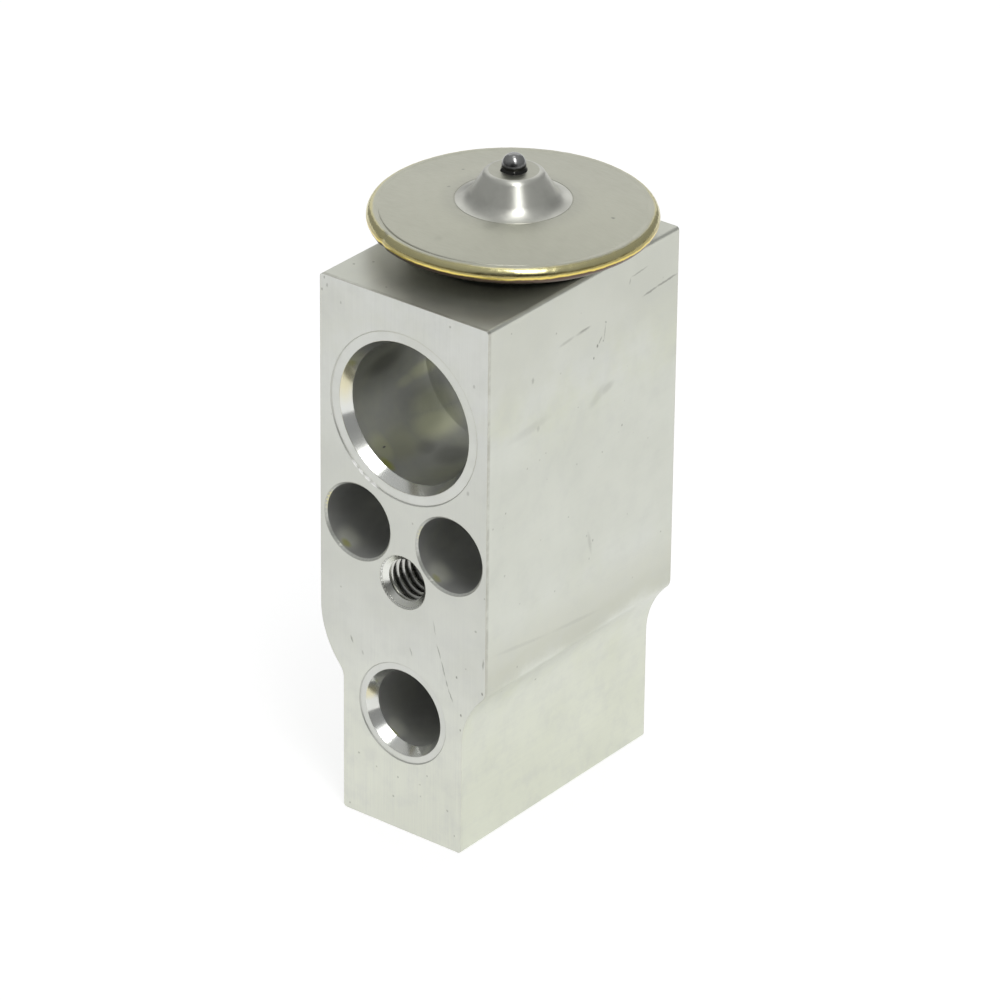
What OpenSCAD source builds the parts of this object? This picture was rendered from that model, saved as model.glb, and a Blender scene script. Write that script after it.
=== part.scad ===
// Block-type expansion valve for a vehicle air conditioner.
// An aluminium bar of one section, cut to length and cross-drilled, carries a welded
// diaphragm head on top, the valve train along one upright axis and an adjuster in the base.
// Millimetres, +Z up. The valve stands on its base plane, and the origin is on that plane,
// in the middle of the outline that the block and the overhanging head share.
// The front is the -Y face. At rest the valve is open, as it is at room temperature.

/* [Block] */
// Width of the bar, side to side
block_w = 23; // [22.6:0.2:30]
// Depth of the block, front to back
block_d = 33.5; // [32:0.5:40]
// Height of the block
block_h = 65; // [64:0.5:70]
// Width of the narrower foot
foot_w = 16.6; // [15.6:0.2:20]
// Height at which the left shoulder leaves the side
left_shoulder_z = 25; // [24:0.2:27]
// Radius of the left shoulder's outward curve
left_outer_r = 11; // [8:0.5:11]
// Radius of the left shoulder's inward curve
left_inner_r = 2.2; // [1.5:0.1:4]
// Height at which the right shoulder leaves the side
right_shoulder_z = 21.4; // [20:0.2:26]
// Radius of the right shoulder's outward curve
right_outer_r = 1.6; // [1:0.1:4]
// Radius of the right shoulder's inward curve
right_inner_r = 9.3; // [6:0.1:10]
// Radius of the bar's long edges
bar_edge_r = 0.4; // [0.2:0.1:1]

/* [Suction passage] */
// Height of the suction ports above the base
suction_z = 51.05; // [50.5:0.1:51.5]
// Bore of the suction ports
suction_d = 16.3; // [14:0.1:16.8]
// Mouth of the suction ports' sealing cone
suction_mouth_d = 17.8; // [17.2:0.1:19]
// Milled ring round each suction port
suction_ring_d = 20; // [19.4:0.1:21]
// Depth of the front suction port
suction_front_h = 14; // [12:0.5:14]
// Depth of the rear suction port
suction_rear_h = 9.5; // [8:0.5:9.5]
// Bore of the gallery between the two suction ports
gallery_d = 15.8; // [12:0.1:15.8]
// Length of the taper from each suction port to the gallery
suction_lead_h = 3; // [2:0.5:3]

/* [Liquid passage] */
// Height of the liquid inlet in the front face
inlet_z = 14.8; // [14:0.1:15.6]
// Height of the liquid outlet in the rear face
outlet_z = 24.5; // [24:0.1:25.5]
// Bore of the liquid ports
liquid_d = 9; // [8:0.1:9.6]
// Mouth of the liquid ports' sealing cone
liquid_mouth_d = 10.5; // [10:0.1:11.4]
// Milled ring round each liquid port
liquid_ring_d = 12; // [11.6:0.1:12.8]
// Depth of the liquid ports
liquid_h = 10.5; // [8:0.5:11]
// Bore of the drillings from the liquid ports to the valve axis
feed_d = 6.4; // [4:0.2:6.6]
// Depth of the milled rings round all four ports
ring_h = 0.12; // [0.05:0.01:0.3]
// Width of the slanted edge of those rings
ring_run = 0.1; // [0.05:0.01:0.3]
// Slope of the four ports' sealing cones, from the port's axis
cone_angle = 30; // [25:1:40]

/* [Fixings] */
// Height of the two bolt holes
bolt_z = 36.5; // [36:0.1:36.8]
// Distance between the two bolt holes
bolt_spacing = 12.7; // [12:0.1:13]
// Bore of the bolt holes
bolt_d = 8.8; // [7:0.1:8.9]
// Broken edge of the bolt holes
bolt_chamfer = 0.25; // [0.1:0.05:0.4]
// Height of the threaded hole in the front face
stud_z = 31.15; // [31:0.05:31.3]
// Thread size of the threaded hole, taken at its major diameter
stud_d = 6; // [5:0.5:6]
// Full depth of the threaded hole
stud_h = 12; // [8:0.5:13]
// Countersink of the threaded hole
stud_mouth_d = 6.4; // [6.2:0.1:7]

/* [Head] */
// Distance of the valve axis behind the middle of the block
axis_offset = 2.1; // [0:0.1:3]
// Radius of the head over its welded rim
head_r = 15.9; // [15:0.1:18]
// Half height of the welded rim
rim_r = 1; // [0.8:0.05:1.2]
// Height of the welded seam above the block
seam_z = 3.35; // [3.2:0.05:4]
// Distance from the edge of the sheets to the middle of the weld
weld_overlap = 0.2; // [0.1:0.05:0.4]
// Thickness of the two pressed sheets
sheet_t = 0.88; // [0.7:0.02:0.9]
// Rise of the cover from its edge to the foot of its cap
cover_rise = 0.95; // [0.5:0.05:1.5]
// Radius of the cap's foot
cap_foot_r = 6.35; // [6:0.05:7]
// Height of the cap above its foot
cap_h = 3.45; // [3:0.05:3.7]
// Slope of the cap's side, from the level
cap_slope = 58; // [52:1:62]
// Radius of the cap's rounded shoulder
cap_shoulder_r = 1; // [0.95:0.05:1.4]
// Radius of the fillet at the cap's foot
cap_fillet_r = 2.3; // [1.5:0.1:2.5]
// Radius of the ball that closes the charging hole
plug_r = 1.34; // [1.3:0.02:1.5]
// Radius of the charging hole
charge_hole_r = 1.2; // [0.9:0.05:1.25]
// Thickness of the diaphragm
diaphragm_t = 0.2; // [0.1:0.05:0.3]
// Number of corrugations in the diaphragm
corrugations = 2; // [1:1:3]
// Height of the diaphragm's corrugations
corrugation_h = 0.5; // [0.2:0.1:0.6]
// Thread size of the head's neck
neck_d = 18; // [17:0.5:18]
// Length of the head's neck below the block's top
neck_h = 4.3; // [3:0.1:4.3]
// Bore of the head's neck
neck_bore_d = 12.4; // [11:0.2:13]
// Section of the ring seal under the head
head_seal_t = 1.3; // [1:0.1:1.5]
// Height of the head's underside above the block
head_gap = 0.3; // [0.2:0.05:0.5]

/* [Valve train] */
// Height of the valve seat's edge
seat_z = 19.6; // [19.4:0.1:20]
// Bore of the valve seat
seat_d = 3.2; // [2.8:0.1:3.4]
// Diameter of the valve ball
ball_d = 4.76; // [4.6:0.02:5]
// Lift of the ball off its seat at rest
lift = 0.7; // [0.4:0.05:0.8]
// Diameter of the push rod
rod_d = 2.4; // [2:0.1:2.4]
// Diameter of the sensing rod that crosses the suction passage
sensor_d = 5.5; // [4:0.1:6]
// Height of the sensing rod's lower end
sensor_z = 46; // [45:0.5:48]
// Diameter of the stopper disc under the diaphragm
stopper_d = 18; // [15:0.5:18.5]
// Thickness of the stopper disc
stopper_t = 1.1; // [0.8:0.05:1.2]
// Section of the ring seal on the push rod
rod_seal_t = 1.3; // [1:0.1:1.4]
// Diameter of the recess that holds the push rod's seal
seal_recess_d = 5.2; // [5:0.1:5.4]
// Diameter of the valve chamber
chamber_d = 10; // [9.6:0.1:10.4]
// Wire of the valve spring
wire_d = 0.9; // [0.7:0.05:1]
// Outer diameter of the valve spring
spring_d = 7.3; // [6.6:0.1:7.6]
// Turns of the valve spring
spring_turns = 3.5; // [3:0.5:5]
// Number of legs on the damper spring
damper_legs = 6; // [4:1:8]

/* [Adjuster] */
// Thread size of the adjusting screw
screw_d = 12; // [11:0.5:12.5]
// Height of the adjusting screw's threaded part
screw_h = 2.5; // [2:0.1:2.6]
// Depth of the adjusting screw below the base
screw_recess = 1.2; // [1.1:0.05:1.3]
// Width of the adjusting screw's hexagon socket, across flats
socket_af = 5; // [3:0.5:5]
// Depth of the adjusting screw's hexagon socket
socket_h = 2; // [1.5:0.1:2.5]
// Section of the adjusting screw's ring seal
screw_seal_t = 1; // [0.8:0.05:1.1]

/* [Fits] */
// Radial clearance of moving parts in their bores
running_gap = 0.05; // [0.02:0.01:0.08]
// Radial clearance of screwed and fitted parts
fit_gap = 0.05; // [0.02:0.01:0.1]
// Gap that stays between parts at the end of a stroke
stop_gap = 0.05; // [0.03:0.01:0.1]

/* [Hidden] */
$fn = 96;
past = 0.5;         // how far a cut runs past the face it opens

// The head overhangs the block's rear face, so the block sits forward of the middle
head_back = axis_offset + head_r;
block_y = -max(0, head_back - block_d / 2) / 2;
front_y = block_y - block_d / 2;
rear_y = block_y + block_d / 2;
axis_y = block_y + axis_offset;

// Levels of the head, from the welded seam outward
sheet_r = head_r - rim_r - weld_overlap;
seam_low = block_h + seam_z - diaphragm_t / 2;
seam_high = block_h + seam_z + diaphragm_t / 2;
cover_edge_z = seam_high + sheet_t;
cover_fall = atan(cover_rise / (sheet_r - cap_foot_r));
cap_foot_z = cover_edge_z + cover_rise;
cap_top_z = cap_foot_z + cap_h;
plug_z = cap_top_z + sqrt(pow(plug_r, 2) - pow(charge_hole_r, 2));
clamp_w = 1.1;      // width of the ring in which the sheets clamp the diaphragm
head_floor_z = block_h + head_gap + sheet_t;
pan_r = 11;         // flat part of the lower sheet
neck_top_z = block_h - neck_h;
neck_end_gap = 0.3; // gap left under the neck's end
neck_step = 0.7;    // ledge in the block round the passage under the neck
neck_hole_h = neck_h + neck_end_gap;
head_seal_r = neck_d / 2 + head_seal_t / 2 + fit_gap;
head_seal_recess_r = head_seal_r + head_seal_t / 2 + fit_gap;

// Levels of the valve train at rest, from the seat down and from the stopper down
closed_ball_z = seat_z + seat_d / 2 - ball_d / 2 * sqrt(2);
ball_z = closed_ball_z - lift - stop_gap;
rod_low_z = ball_z + ball_d / 2;
stopper_low_z = head_floor_z + stop_gap;
stopper_top_z = stopper_low_z + stopper_t;
hub_h = 2;          // length of the stopper's hub, which holds the sensing rod
hub_wall = 1.3;
rod_grip_h = 3;     // how far the push rod reaches into the sensing rod
outlet_top_z = outlet_z + feed_d / 2;
seat_land_h = 0.8;  // straight bore left above the seat's edge
outlet_way = 1.6;   // width of the ring-shaped way round the push rod
outlet_chamber_r = rod_d / 2 + outlet_way;
seal_recess_z = 40;
retainer_t = 0.5;
rod_seal_z = seal_recess_z + rod_seal_t / 2;
carrier_grip = 1;   // how far the ball sinks into its carrier's cup
carrier_r = 3.8;
carrier_t = 1.2;
carrier_top_z = ball_z - ball_d / 2 + carrier_grip;
carrier_low_z = carrier_top_z - carrier_grip - carrier_t;
coil_gap = 0.35;    // play between the valve spring and what centres it inside
spigot_r = spring_d / 2 - wire_d - coil_gap;
damper_t = 0.25;
damper_play = 0.1;  // play of the damper spring round the carrier's spigot
damper_root = 0.4;  // how far a leg of the damper spring starts inside its ring
damper_leg_w = 1.3;
damper_leg_h = 1.9;
damper_low_z = carrier_low_z - damper_t;
screw_top_z = 7.6;
screw_neck_d = chamber_d - 2 * running_gap;
chamber_low_z = 4.8;
seat_cone_z = seat_z - (chamber_d - seat_d) / 2;
screw_seal_z = 6.6;
screw_groove_d = chamber_d - 2 * screw_seal_t - 2 * running_gap - 2 * fit_gap;
spring_low_z = screw_top_z + stop_gap;
spring_high_z = damper_low_z - stop_gap;
spring_sides = 10;
spring_steps = 24;  // rings on each turn of the spring

// Points along an arc from angle a0 to a1, in steps of at most 15 degrees
function arc(centre, r, a0, a1) =
    let (n = max(2, ceil(abs(a1 - a0) / 15)))
    [for (i = [0:n]) let (a = a0 + (a1 - a0) * i / n) centre + r * [cos(a), sin(a)]];

// Cuts that start at the front or rear face and run straight in
module into_front(x, z) { translate([x, front_y, z]) rotate([-90, 0, 0]) children(); }
module into_rear(x, z) { translate([x, rear_y, z]) rotate([90, 0, 0]) children(); }
// What stands on the valve axis, at height z
module on_axis(z) { translate([0, axis_y, z]) children(); }

// One side of the bar's section, from its top down: the side, the corner that the outward
// curve rounds, the point where the two curves meet, the centre of the inward curve, the foot
function side_line(outer_r, inner_r, shoulder_z) =
    let (inset = (block_w - foot_w) / 2,
        turn = acos(1 - inset / (outer_r + inner_r)),
        outer_c = [block_w / 2 - outer_r, shoulder_z],
        foot_z = shoulder_z - (outer_r + inner_r) * sin(turn))
    [[block_w / 2, block_h], [block_w / 2, shoulder_z],
        outer_c + outer_r * [1, -tan(turn / 2)],
        outer_c + outer_r * [cos(turn), -sin(turn)],
        [foot_w / 2 + inner_r, foot_z], [foot_w / 2, foot_z], [foot_w / 2, 0]];

// What the two curves of a shoulder take off that line
module shoulder_waste(outer_r, inner_r, shoulder_z) {
    line = side_line(outer_r, inner_r, shoulder_z);
    difference() {
        polygon([line[1], line[2], line[3]]);
        translate([block_w / 2 - outer_r, shoulder_z]) circle(outer_r);
    }
    translate(line[4]) circle(inner_r);
}

// What a rounded edge takes off the corner at the origin, which lies up and to the right
module edge_waste(r) {
    difference() {
        translate([-r, -r]) square(r + past);
        translate([-r, -r]) circle(r);
    }
}

module bar_section() {
    right = side_line(right_outer_r, right_inner_r, right_shoulder_z);
    left = side_line(left_outer_r, left_inner_r, left_shoulder_z);
    difference() {
        polygon(concat(right, [for (i = [len(left) - 1:-1:0]) [-left[i][0], left[i][1]]]));
        shoulder_waste(right_outer_r, right_inner_r, right_shoulder_z);
        mirror([1, 0]) shoulder_waste(left_outer_r, left_inner_r, left_shoulder_z);
        for (side = [0, 1]) mirror([side, 0]) {
            translate([block_w / 2, block_h]) edge_waste(bar_edge_r);
            translate([foot_w / 2, 0]) mirror([0, 1]) edge_waste(bar_edge_r);
        }
    }
}

// Port with a shallow milled ring, a sealing cone and a bore, cut along +Z
module port_cut(bore_d, mouth_d, ring_d, h) {
    cone_h = (mouth_d - bore_d) / 2 / tan(cone_angle);
    ring_mouth_d = ring_d + 2 * ring_run;
    translate([0, 0, -past]) cylinder(h = past, d = ring_mouth_d);
    cylinder(h = ring_h, d1 = ring_mouth_d, d2 = ring_d);
    translate([0, 0, ring_h]) cylinder(h = cone_h, d1 = mouth_d, d2 = bore_d);
    cylinder(h = h, d = bore_d);
}

// Taper from the end of a suction port, at depth h, down to the gallery, cut along +Z
module suction_lead(h) {
    translate([0, 0, h]) cylinder(h = suction_lead_h, d1 = suction_d, d2 = gallery_d);
}

// Plain through hole with a broken edge at both faces, cut along +Z
module bolt_cut() {
    translate([0, 0, -past]) cylinder(h = block_d + 2 * past, d = bolt_d);
    translate([0, 0, -past])
        cylinder(h = past + bolt_chamfer, d1 = bolt_d + 2 * (bolt_chamfer + past), d2 = bolt_d);
    translate([0, 0, block_d - bolt_chamfer])
        cylinder(h = past + bolt_chamfer, d1 = bolt_d, d2 = bolt_d + 2 * (bolt_chamfer + past));
}

// Blind threaded hole with a countersink and a drill point, cut along +Z
module stud_cut() {
    point_slope = 31;
    point_h = stud_d / 2 * tan(point_slope);
    sink_h = (stud_mouth_d - stud_d) / 2;
    translate([0, 0, -past]) cylinder(h = past + stud_h, d = stud_d);
    translate([0, 0, -past]) cylinder(h = past + sink_h, d1 = stud_mouth_d + 2 * past, d2 = stud_d);
    translate([0, 0, stud_h]) cylinder(h = point_h, d1 = stud_d, d2 = 0);
}

// Everything cut along the valve axis, from the head's thread down to the adjuster's
module axis_cuts() {
    on_axis(block_h - neck_hole_h) cylinder(h = neck_hole_h + past, d = neck_d);
    on_axis(block_h + head_gap - head_seal_t)
        cylinder(h = head_seal_t + past, r = head_seal_recess_r);
    on_axis(suction_z) cylinder(h = block_h - suction_z - past, d = neck_bore_d - 2 * neck_step);
    on_axis(seal_recess_z) cylinder(h = suction_z - seal_recess_z, d = seal_recess_d);
    on_axis(outlet_z) cylinder(h = suction_z - outlet_z, d = rod_d + 2 * running_gap);
    on_axis(seat_z + seat_land_h) cylinder(h = outlet_top_z - seat_z, r = outlet_chamber_r);
    on_axis(seat_cone_z) cylinder(h = outlet_z - seat_cone_z, d = seat_d);
    on_axis(seat_cone_z) cylinder(h = seat_z - seat_cone_z, d1 = chamber_d, d2 = seat_d);
    on_axis(chamber_low_z - past)
        cylinder(h = seat_cone_z - chamber_low_z + past, d = chamber_d);
    on_axis(-past) cylinder(h = chamber_low_z + past, d = screw_d);
}

module valve_block() {
    color("#c8c9c1") difference() {
        translate([0, block_y, 0]) rotate([90, 0, 0])
            linear_extrude(block_d, center = true) bar_section();
        into_front(0, suction_z) {
            port_cut(suction_d, suction_mouth_d, suction_ring_d, suction_front_h);
            suction_lead(suction_front_h);
            cylinder(h = block_d - suction_rear_h, d = gallery_d);
        }
        into_rear(0, suction_z) {
            port_cut(suction_d, suction_mouth_d, suction_ring_d, suction_rear_h);
            suction_lead(suction_rear_h);
        }
        into_front(0, inlet_z) {
            port_cut(liquid_d, liquid_mouth_d, liquid_ring_d, liquid_h);
            cylinder(h = axis_y - front_y, d = feed_d);
        }
        into_rear(0, outlet_z) {
            port_cut(liquid_d, liquid_mouth_d, liquid_ring_d, liquid_h);
            cylinder(h = rear_y - axis_y, d = feed_d);
        }
        for (side = [-1, 1]) into_front(side * bolt_spacing / 2, bolt_z) bolt_cut();
        into_front(0, stud_z) stud_cut();
        axis_cuts();
    }
}

// Lower sheet of the head, pressed and turned with the threaded neck that holds it
module head_base() {
    neck_r = neck_d / 2 - fit_gap;
    bore_r = neck_bore_d / 2;
    low_z = block_h + head_gap;
    clamp_z = seam_low - sheet_t;
    inner_r = sheet_r - clamp_w;
    edge = 0.4;     // chamfer at the end of the neck
    color("#8d8c84") on_axis(0) rotate_extrude() polygon([
        [bore_r, neck_top_z], [neck_r - edge, neck_top_z], [neck_r, neck_top_z + edge],
        [neck_r, low_z], [pan_r, low_z], [inner_r, clamp_z], [sheet_r, clamp_z],
        [sheet_r, seam_low], [inner_r - sheet_t / 2, seam_low],
        [pan_r - sheet_t / 2, head_floor_z], [bore_r, head_floor_z]]);
}

// Upper line of the cover, from the charging hole out to the edge, in radius and height
function cover_line() =
    let (shoulder_drop = cap_shoulder_r * (1 - cos(cap_slope)),
        fillet_rise = cap_fillet_r * (cos(cover_fall) - cos(cap_slope)),
        fillet_run = cap_fillet_r * (sin(cap_slope) - sin(cover_fall)),
        side_h = cap_h - shoulder_drop - fillet_rise,
        side_run = side_h / tan(cap_slope),
        shoulder_c = [cap_foot_r - fillet_run - side_run - cap_shoulder_r * sin(cap_slope),
            cap_top_z - cap_shoulder_r],
        fillet_c = [cap_foot_r + cap_fillet_r * sin(cover_fall),
            cap_foot_z + cap_fillet_r * cos(cover_fall)])
    concat([[charge_hole_r, cap_top_z]],
        arc(shoulder_c, cap_shoulder_r, 90, 90 - cap_slope),
        arc(fillet_c, cap_fillet_r, 270 - cap_slope, 270 - cover_fall));

// The same line, moved down through the sheet by t along its own normal
function under_line(line, t) = [for (i = [0:len(line) - 1])
    let (d = line[min(i + 1, len(line) - 1)] - line[max(i - 1, 0)])
    line[i] + t * [d[1], -d[0]] / norm(d)];

// Upper sheet of the head: a shallow cone with a raised cap in the middle
module head_cover() {
    line = cover_line();
    under = under_line(line, sheet_t);
    lip_r = 0.25;   // rounded outer edge, which leaves a groove beside the weld
    lip_z = cover_edge_z - lip_r;
    crank_h = 0.1;  // how far the sheet has risen where it leaves the clamped ring
    color("#acaea2") on_axis(0) rotate_extrude() polygon(concat(
        line,
        arc([sheet_r - lip_r, lip_z], lip_r, 90 - cover_fall, 0),
        [[sheet_r, seam_high], [sheet_r - clamp_w, seam_high]],
        [[sheet_r - clamp_w - sheet_t / 2, cover_edge_z - sheet_t + crank_h]],
        [for (i = [len(under) - 1:-1:1]) under[i]],
        [[charge_hole_r, cap_top_z - sheet_t]]));
}

// Steel ball welded into the charging hole, with a low collar of weld round its foot
module charge_plug() {
    collar_w = 0.14;
    collar_h = 0.3;
    seat_depth = 0.7;   // how far the melted ball reaches down the hole
    color("#4b4b49") on_axis(0) difference() {
        union() {
            translate([0, 0, plug_z]) sphere(plug_r);
            translate([0, 0, cap_top_z - seat_depth])
                cylinder(h = seat_depth, r = charge_hole_r);
            translate([0, 0, cap_top_z])
                cylinder(h = collar_h, r1 = plug_r + collar_w, r2 = charge_hole_r);
        }
        translate([0, 0, cap_top_z - past]) difference() {
            cylinder(h = past, r = 2 * plug_r);
            translate([0, 0, -past]) cylinder(h = 3 * past, r = charge_hole_r);
        }
    }
}

// Thin corrugated sheet clamped in the seam and pressed down on the stopper
module diaphragm() {
    flat_margin = 0.3;  // flat part past the stopper's edge
    wave_margin = 0.5;  // flat part inside the clamped ring
    flat_r = stopper_d / 2 + flat_margin;
    wave_r = sheet_r - clamp_w - wave_margin;
    drop = seam_low - stopper_top_z;
    steps = 12 * corrugations;
    mid = [for (i = [0:steps]) let (f = i / steps)
        [flat_r + (wave_r - flat_r) * f,
            stopper_top_z + drop * (1 - cos(180 * f)) / 2
            - corrugation_h / 2 * sin(360 * corrugations * f) * sin(180 * f)]];
    lower = concat([[0, stopper_top_z]], mid, [[sheet_r, seam_low]]);
    upper = [for (p = lower) p + [0, diaphragm_t]];
    color("#b9b9b4") on_axis(0) rotate_extrude()
        polygon(concat(lower, [for (i = [len(upper) - 1:-1:0]) upper[i]]));
}

// Rounded bead that melts the two sheets and the diaphragm together at their edges
module rim_weld() {
    color("#a79a5c") on_axis(block_h + seam_z) rotate_extrude() intersection() {
        translate([head_r - rim_r, 0]) circle(rim_r);
        translate([sheet_r, -rim_r]) square(2 * rim_r);
    }
}

// Ring seal of round section, round the valve axis at height z
module ring_seal(r, t, z) {
    color("#26262a") on_axis(z) rotate_extrude() translate([r, 0]) circle(d = t);
}

module head_seal() {
    ring_seal(head_seal_r, head_seal_t, block_h + head_gap - head_seal_t / 2);
}

// Disc that takes the diaphragm's push, with a hub for the sensing rod
module stopper_disc() {
    color("#9b9c98") on_axis(stopper_low_z) difference() {
        union() {
            cylinder(h = stopper_t, d = stopper_d);
            translate([0, 0, -hub_h]) cylinder(h = hub_h, d = sensor_d + 2 * hub_wall);
        }
        translate([0, 0, -hub_h - past]) cylinder(h = hub_h + past, d = sensor_d + fit_gap);
    }
}

// Thick aluminium rod that the returning gas washes
module sensing_rod() {
    edge = 0.4;
    top_z = stopper_low_z;
    color("#b4b6b3") on_axis(0) difference() {
        union() {
            translate([0, 0, sensor_z + edge]) cylinder(h = top_z - sensor_z - edge, d = sensor_d);
            translate([0, 0, sensor_z]) cylinder(h = edge, d1 = sensor_d - 2 * edge, d2 = sensor_d);
        }
        translate([0, 0, sensor_z - past])
            cylinder(h = rod_grip_h + past, d = rod_d + fit_gap);
    }
}

// Thin steel rod from the sensing rod through its seal and the valve seat to the ball
module push_rod() {
    color("#8e9090") on_axis(rod_low_z)
        cylinder(h = sensor_z + rod_grip_h - rod_low_z, d = rod_d);
}

module rod_seal() {
    ring_seal(rod_d / 2 + running_gap + rod_seal_t / 2, rod_seal_t, rod_seal_z);
}

// Spring washer with cut teeth that keeps the push rod's seal in its recess
module seal_retainer() {
    teeth = 6;
    tooth_gap = 0.6;
    ring_w = 0.6;
    outer_r = seal_recess_d / 2 - fit_gap;
    color("#83847f") on_axis(seal_recess_z + rod_seal_t) difference() {
        cylinder(h = retainer_t, r = outer_r);
        translate([0, 0, -past]) cylinder(h = retainer_t + 2 * past, d = rod_d + 4 * running_gap);
        for (i = [0:teeth - 1]) rotate([0, 0, i * 360 / teeth])
            translate([0, -tooth_gap / 2, -past])
                cube([outer_r - ring_w, tooth_gap, retainer_t + 2 * past]);
    }
}

module valve_ball() {
    color("#6f7173") on_axis(ball_z) sphere(d = ball_d);
}

// Cup that carries the ball and centres the valve spring
module ball_carrier() {
    spigot_h = 1.4;
    color("#a5a294") on_axis(0) difference() {
        union() {
            translate([0, 0, carrier_low_z])
                cylinder(h = carrier_top_z - carrier_low_z, r = carrier_r);
            translate([0, 0, carrier_low_z - spigot_h]) cylinder(h = spigot_h, r = spigot_r);
        }
        translate([0, 0, ball_z]) sphere(d = ball_d);
    }
}

// Ring under the carrier with springy legs that rub on the chamber wall and damp the ball
module damper_spring() {
    bore_r = spigot_r + damper_play;
    reach = chamber_d / 2 - running_gap;
    color("#9c9b90") on_axis(damper_low_z) {
        difference() {
            cylinder(h = damper_t, r = carrier_r);
            translate([0, 0, -past]) cylinder(h = damper_t + 2 * past, r = bore_r);
        }
        intersection() {
            cylinder(h = damper_leg_h, r = reach);
            for (i = [0:damper_legs - 1]) rotate([0, 0, i * 360 / damper_legs]) {
                translate([carrier_r - damper_root, -damper_leg_w / 2, 0])
                    cube([chamber_d / 2 - carrier_r + damper_root, damper_leg_w, damper_t]);
                translate([reach - damper_t, -damper_leg_w / 2, 0])
                    cube([2 * damper_t, damper_leg_w, damper_leg_h]);
            }
        }
    }
}

// Middle line of the spring at turn t: closed turns at both ends, even pitch between
function coil_z(t) =
    let (low = spring_low_z + wire_d / 2, high = spring_high_z - wire_d / 2,
        closed = 0.75, closed_pitch = 1.02 * wire_d, pitch_end = closed_pitch * closed,
        f = (t - closed) / (spring_turns - 2 * closed))
    t < closed ? low + pitch_end * t / closed
    : t > spring_turns - closed ? high - pitch_end * (spring_turns - t) / closed
    : low + pitch_end + (high - low - 2 * pitch_end) * f;

// Compression spring, swept as rings of points along its middle line
module valve_spring() {
    r = (spring_d - wire_d) / 2;
    rings = ceil(spring_turns * spring_steps);
    points = [for (i = [0:rings]) let (t = i * spring_turns / rings, a = 360 * t)
        for (k = [0:spring_sides - 1]) let (b = 360 * k / spring_sides)
            [(r + wire_d / 2 * cos(b)) * cos(a), (r + wire_d / 2 * cos(b)) * sin(a),
                coil_z(t) + wire_d / 2 * sin(b)]];
    sides = [for (i = [0:rings - 1], k = [0:spring_sides - 1])
        let (k2 = (k + 1) % spring_sides, n = i * spring_sides)
        [n + k, n + k2, n + spring_sides + k2, n + spring_sides + k]];
    ends = [[for (k = [spring_sides - 1:-1:0]) k],
        [for (k = [0:spring_sides - 1]) rings * spring_sides + k]];
    color("#8f918f") on_axis(0) polyhedron(points, concat(sides, ends), convexity = 8);
}

// Screw in the base that sets the spring's load, with a hexagon socket and a seal groove
module adjusting_screw() {
    thread_r = screw_d / 2 - fit_gap;
    neck_r = screw_neck_d / 2;
    groove_h = screw_seal_t + 2 * fit_gap;
    boss_h = 1.2;
    edge = 0.3;
    groove_z = screw_seal_z - groove_h / 2;
    color("#b9a05c") on_axis(0) difference() {
        rotate_extrude() polygon([
            [0, screw_recess], [thread_r - edge, screw_recess], [thread_r, screw_recess + edge],
            [thread_r, screw_recess + screw_h], [neck_r, screw_recess + screw_h],
            [neck_r, groove_z], [screw_groove_d / 2, groove_z],
            [screw_groove_d / 2, groove_z + groove_h], [neck_r, groove_z + groove_h],
            [neck_r, screw_top_z], [spigot_r, screw_top_z],
            [spigot_r - edge, screw_top_z + boss_h],
            [0, screw_top_z + boss_h]]);
        translate([0, 0, screw_recess - past])
            cylinder(h = past + socket_h, d = socket_af / cos(30), $fn = 6);
    }
}

module screw_seal() {
    ring_seal(screw_groove_d / 2 + fit_gap + screw_seal_t / 2, screw_seal_t, screw_seal_z);
}

valve_block();
head_base();
head_cover();
charge_plug();
diaphragm();
rim_weld();
head_seal();
stopper_disc();
sensing_rod();
push_rod();
rod_seal();
seal_retainer();
valve_ball();
ball_carrier();
damper_spring();
valve_spring();
adjusting_screw();
screw_seal();
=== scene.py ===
"""Looks of a block-type expansion valve, built round its solids.

Each sub-assembly is a class that builds its own meshes and dresses them: the drilled block,
the welded head, the valve train and the adjuster. Lengths are in metres, +Z is up, and the
front of the block faces -Y.
"""

import logging
import math
from dataclasses import dataclass
from enum import Enum
from functools import reduce
from typing import Callable, Iterable, Sequence

import bmesh
import bpy
from mathutils import Matrix, Vector, noise


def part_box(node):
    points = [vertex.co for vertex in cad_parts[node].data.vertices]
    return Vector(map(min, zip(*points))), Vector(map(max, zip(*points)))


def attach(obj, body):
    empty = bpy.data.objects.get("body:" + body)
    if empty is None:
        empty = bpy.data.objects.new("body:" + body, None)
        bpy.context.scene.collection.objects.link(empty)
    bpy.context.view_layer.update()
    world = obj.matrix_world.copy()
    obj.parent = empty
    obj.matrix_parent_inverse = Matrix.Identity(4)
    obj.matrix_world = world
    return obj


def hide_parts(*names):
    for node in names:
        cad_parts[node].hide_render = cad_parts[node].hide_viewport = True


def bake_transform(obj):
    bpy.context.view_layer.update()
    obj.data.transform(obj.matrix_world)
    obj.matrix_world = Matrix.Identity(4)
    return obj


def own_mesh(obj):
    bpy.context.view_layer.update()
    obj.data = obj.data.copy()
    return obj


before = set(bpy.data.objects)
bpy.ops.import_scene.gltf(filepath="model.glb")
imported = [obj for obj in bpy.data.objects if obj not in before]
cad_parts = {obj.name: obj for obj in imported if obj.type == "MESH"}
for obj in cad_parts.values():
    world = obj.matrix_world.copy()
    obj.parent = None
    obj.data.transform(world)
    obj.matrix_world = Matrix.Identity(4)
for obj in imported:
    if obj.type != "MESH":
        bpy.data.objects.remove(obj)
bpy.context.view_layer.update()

MM = 0.001
UM = 0.000001
LOG = logging.getLogger("valve")
Colour = tuple[float, float, float]
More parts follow.
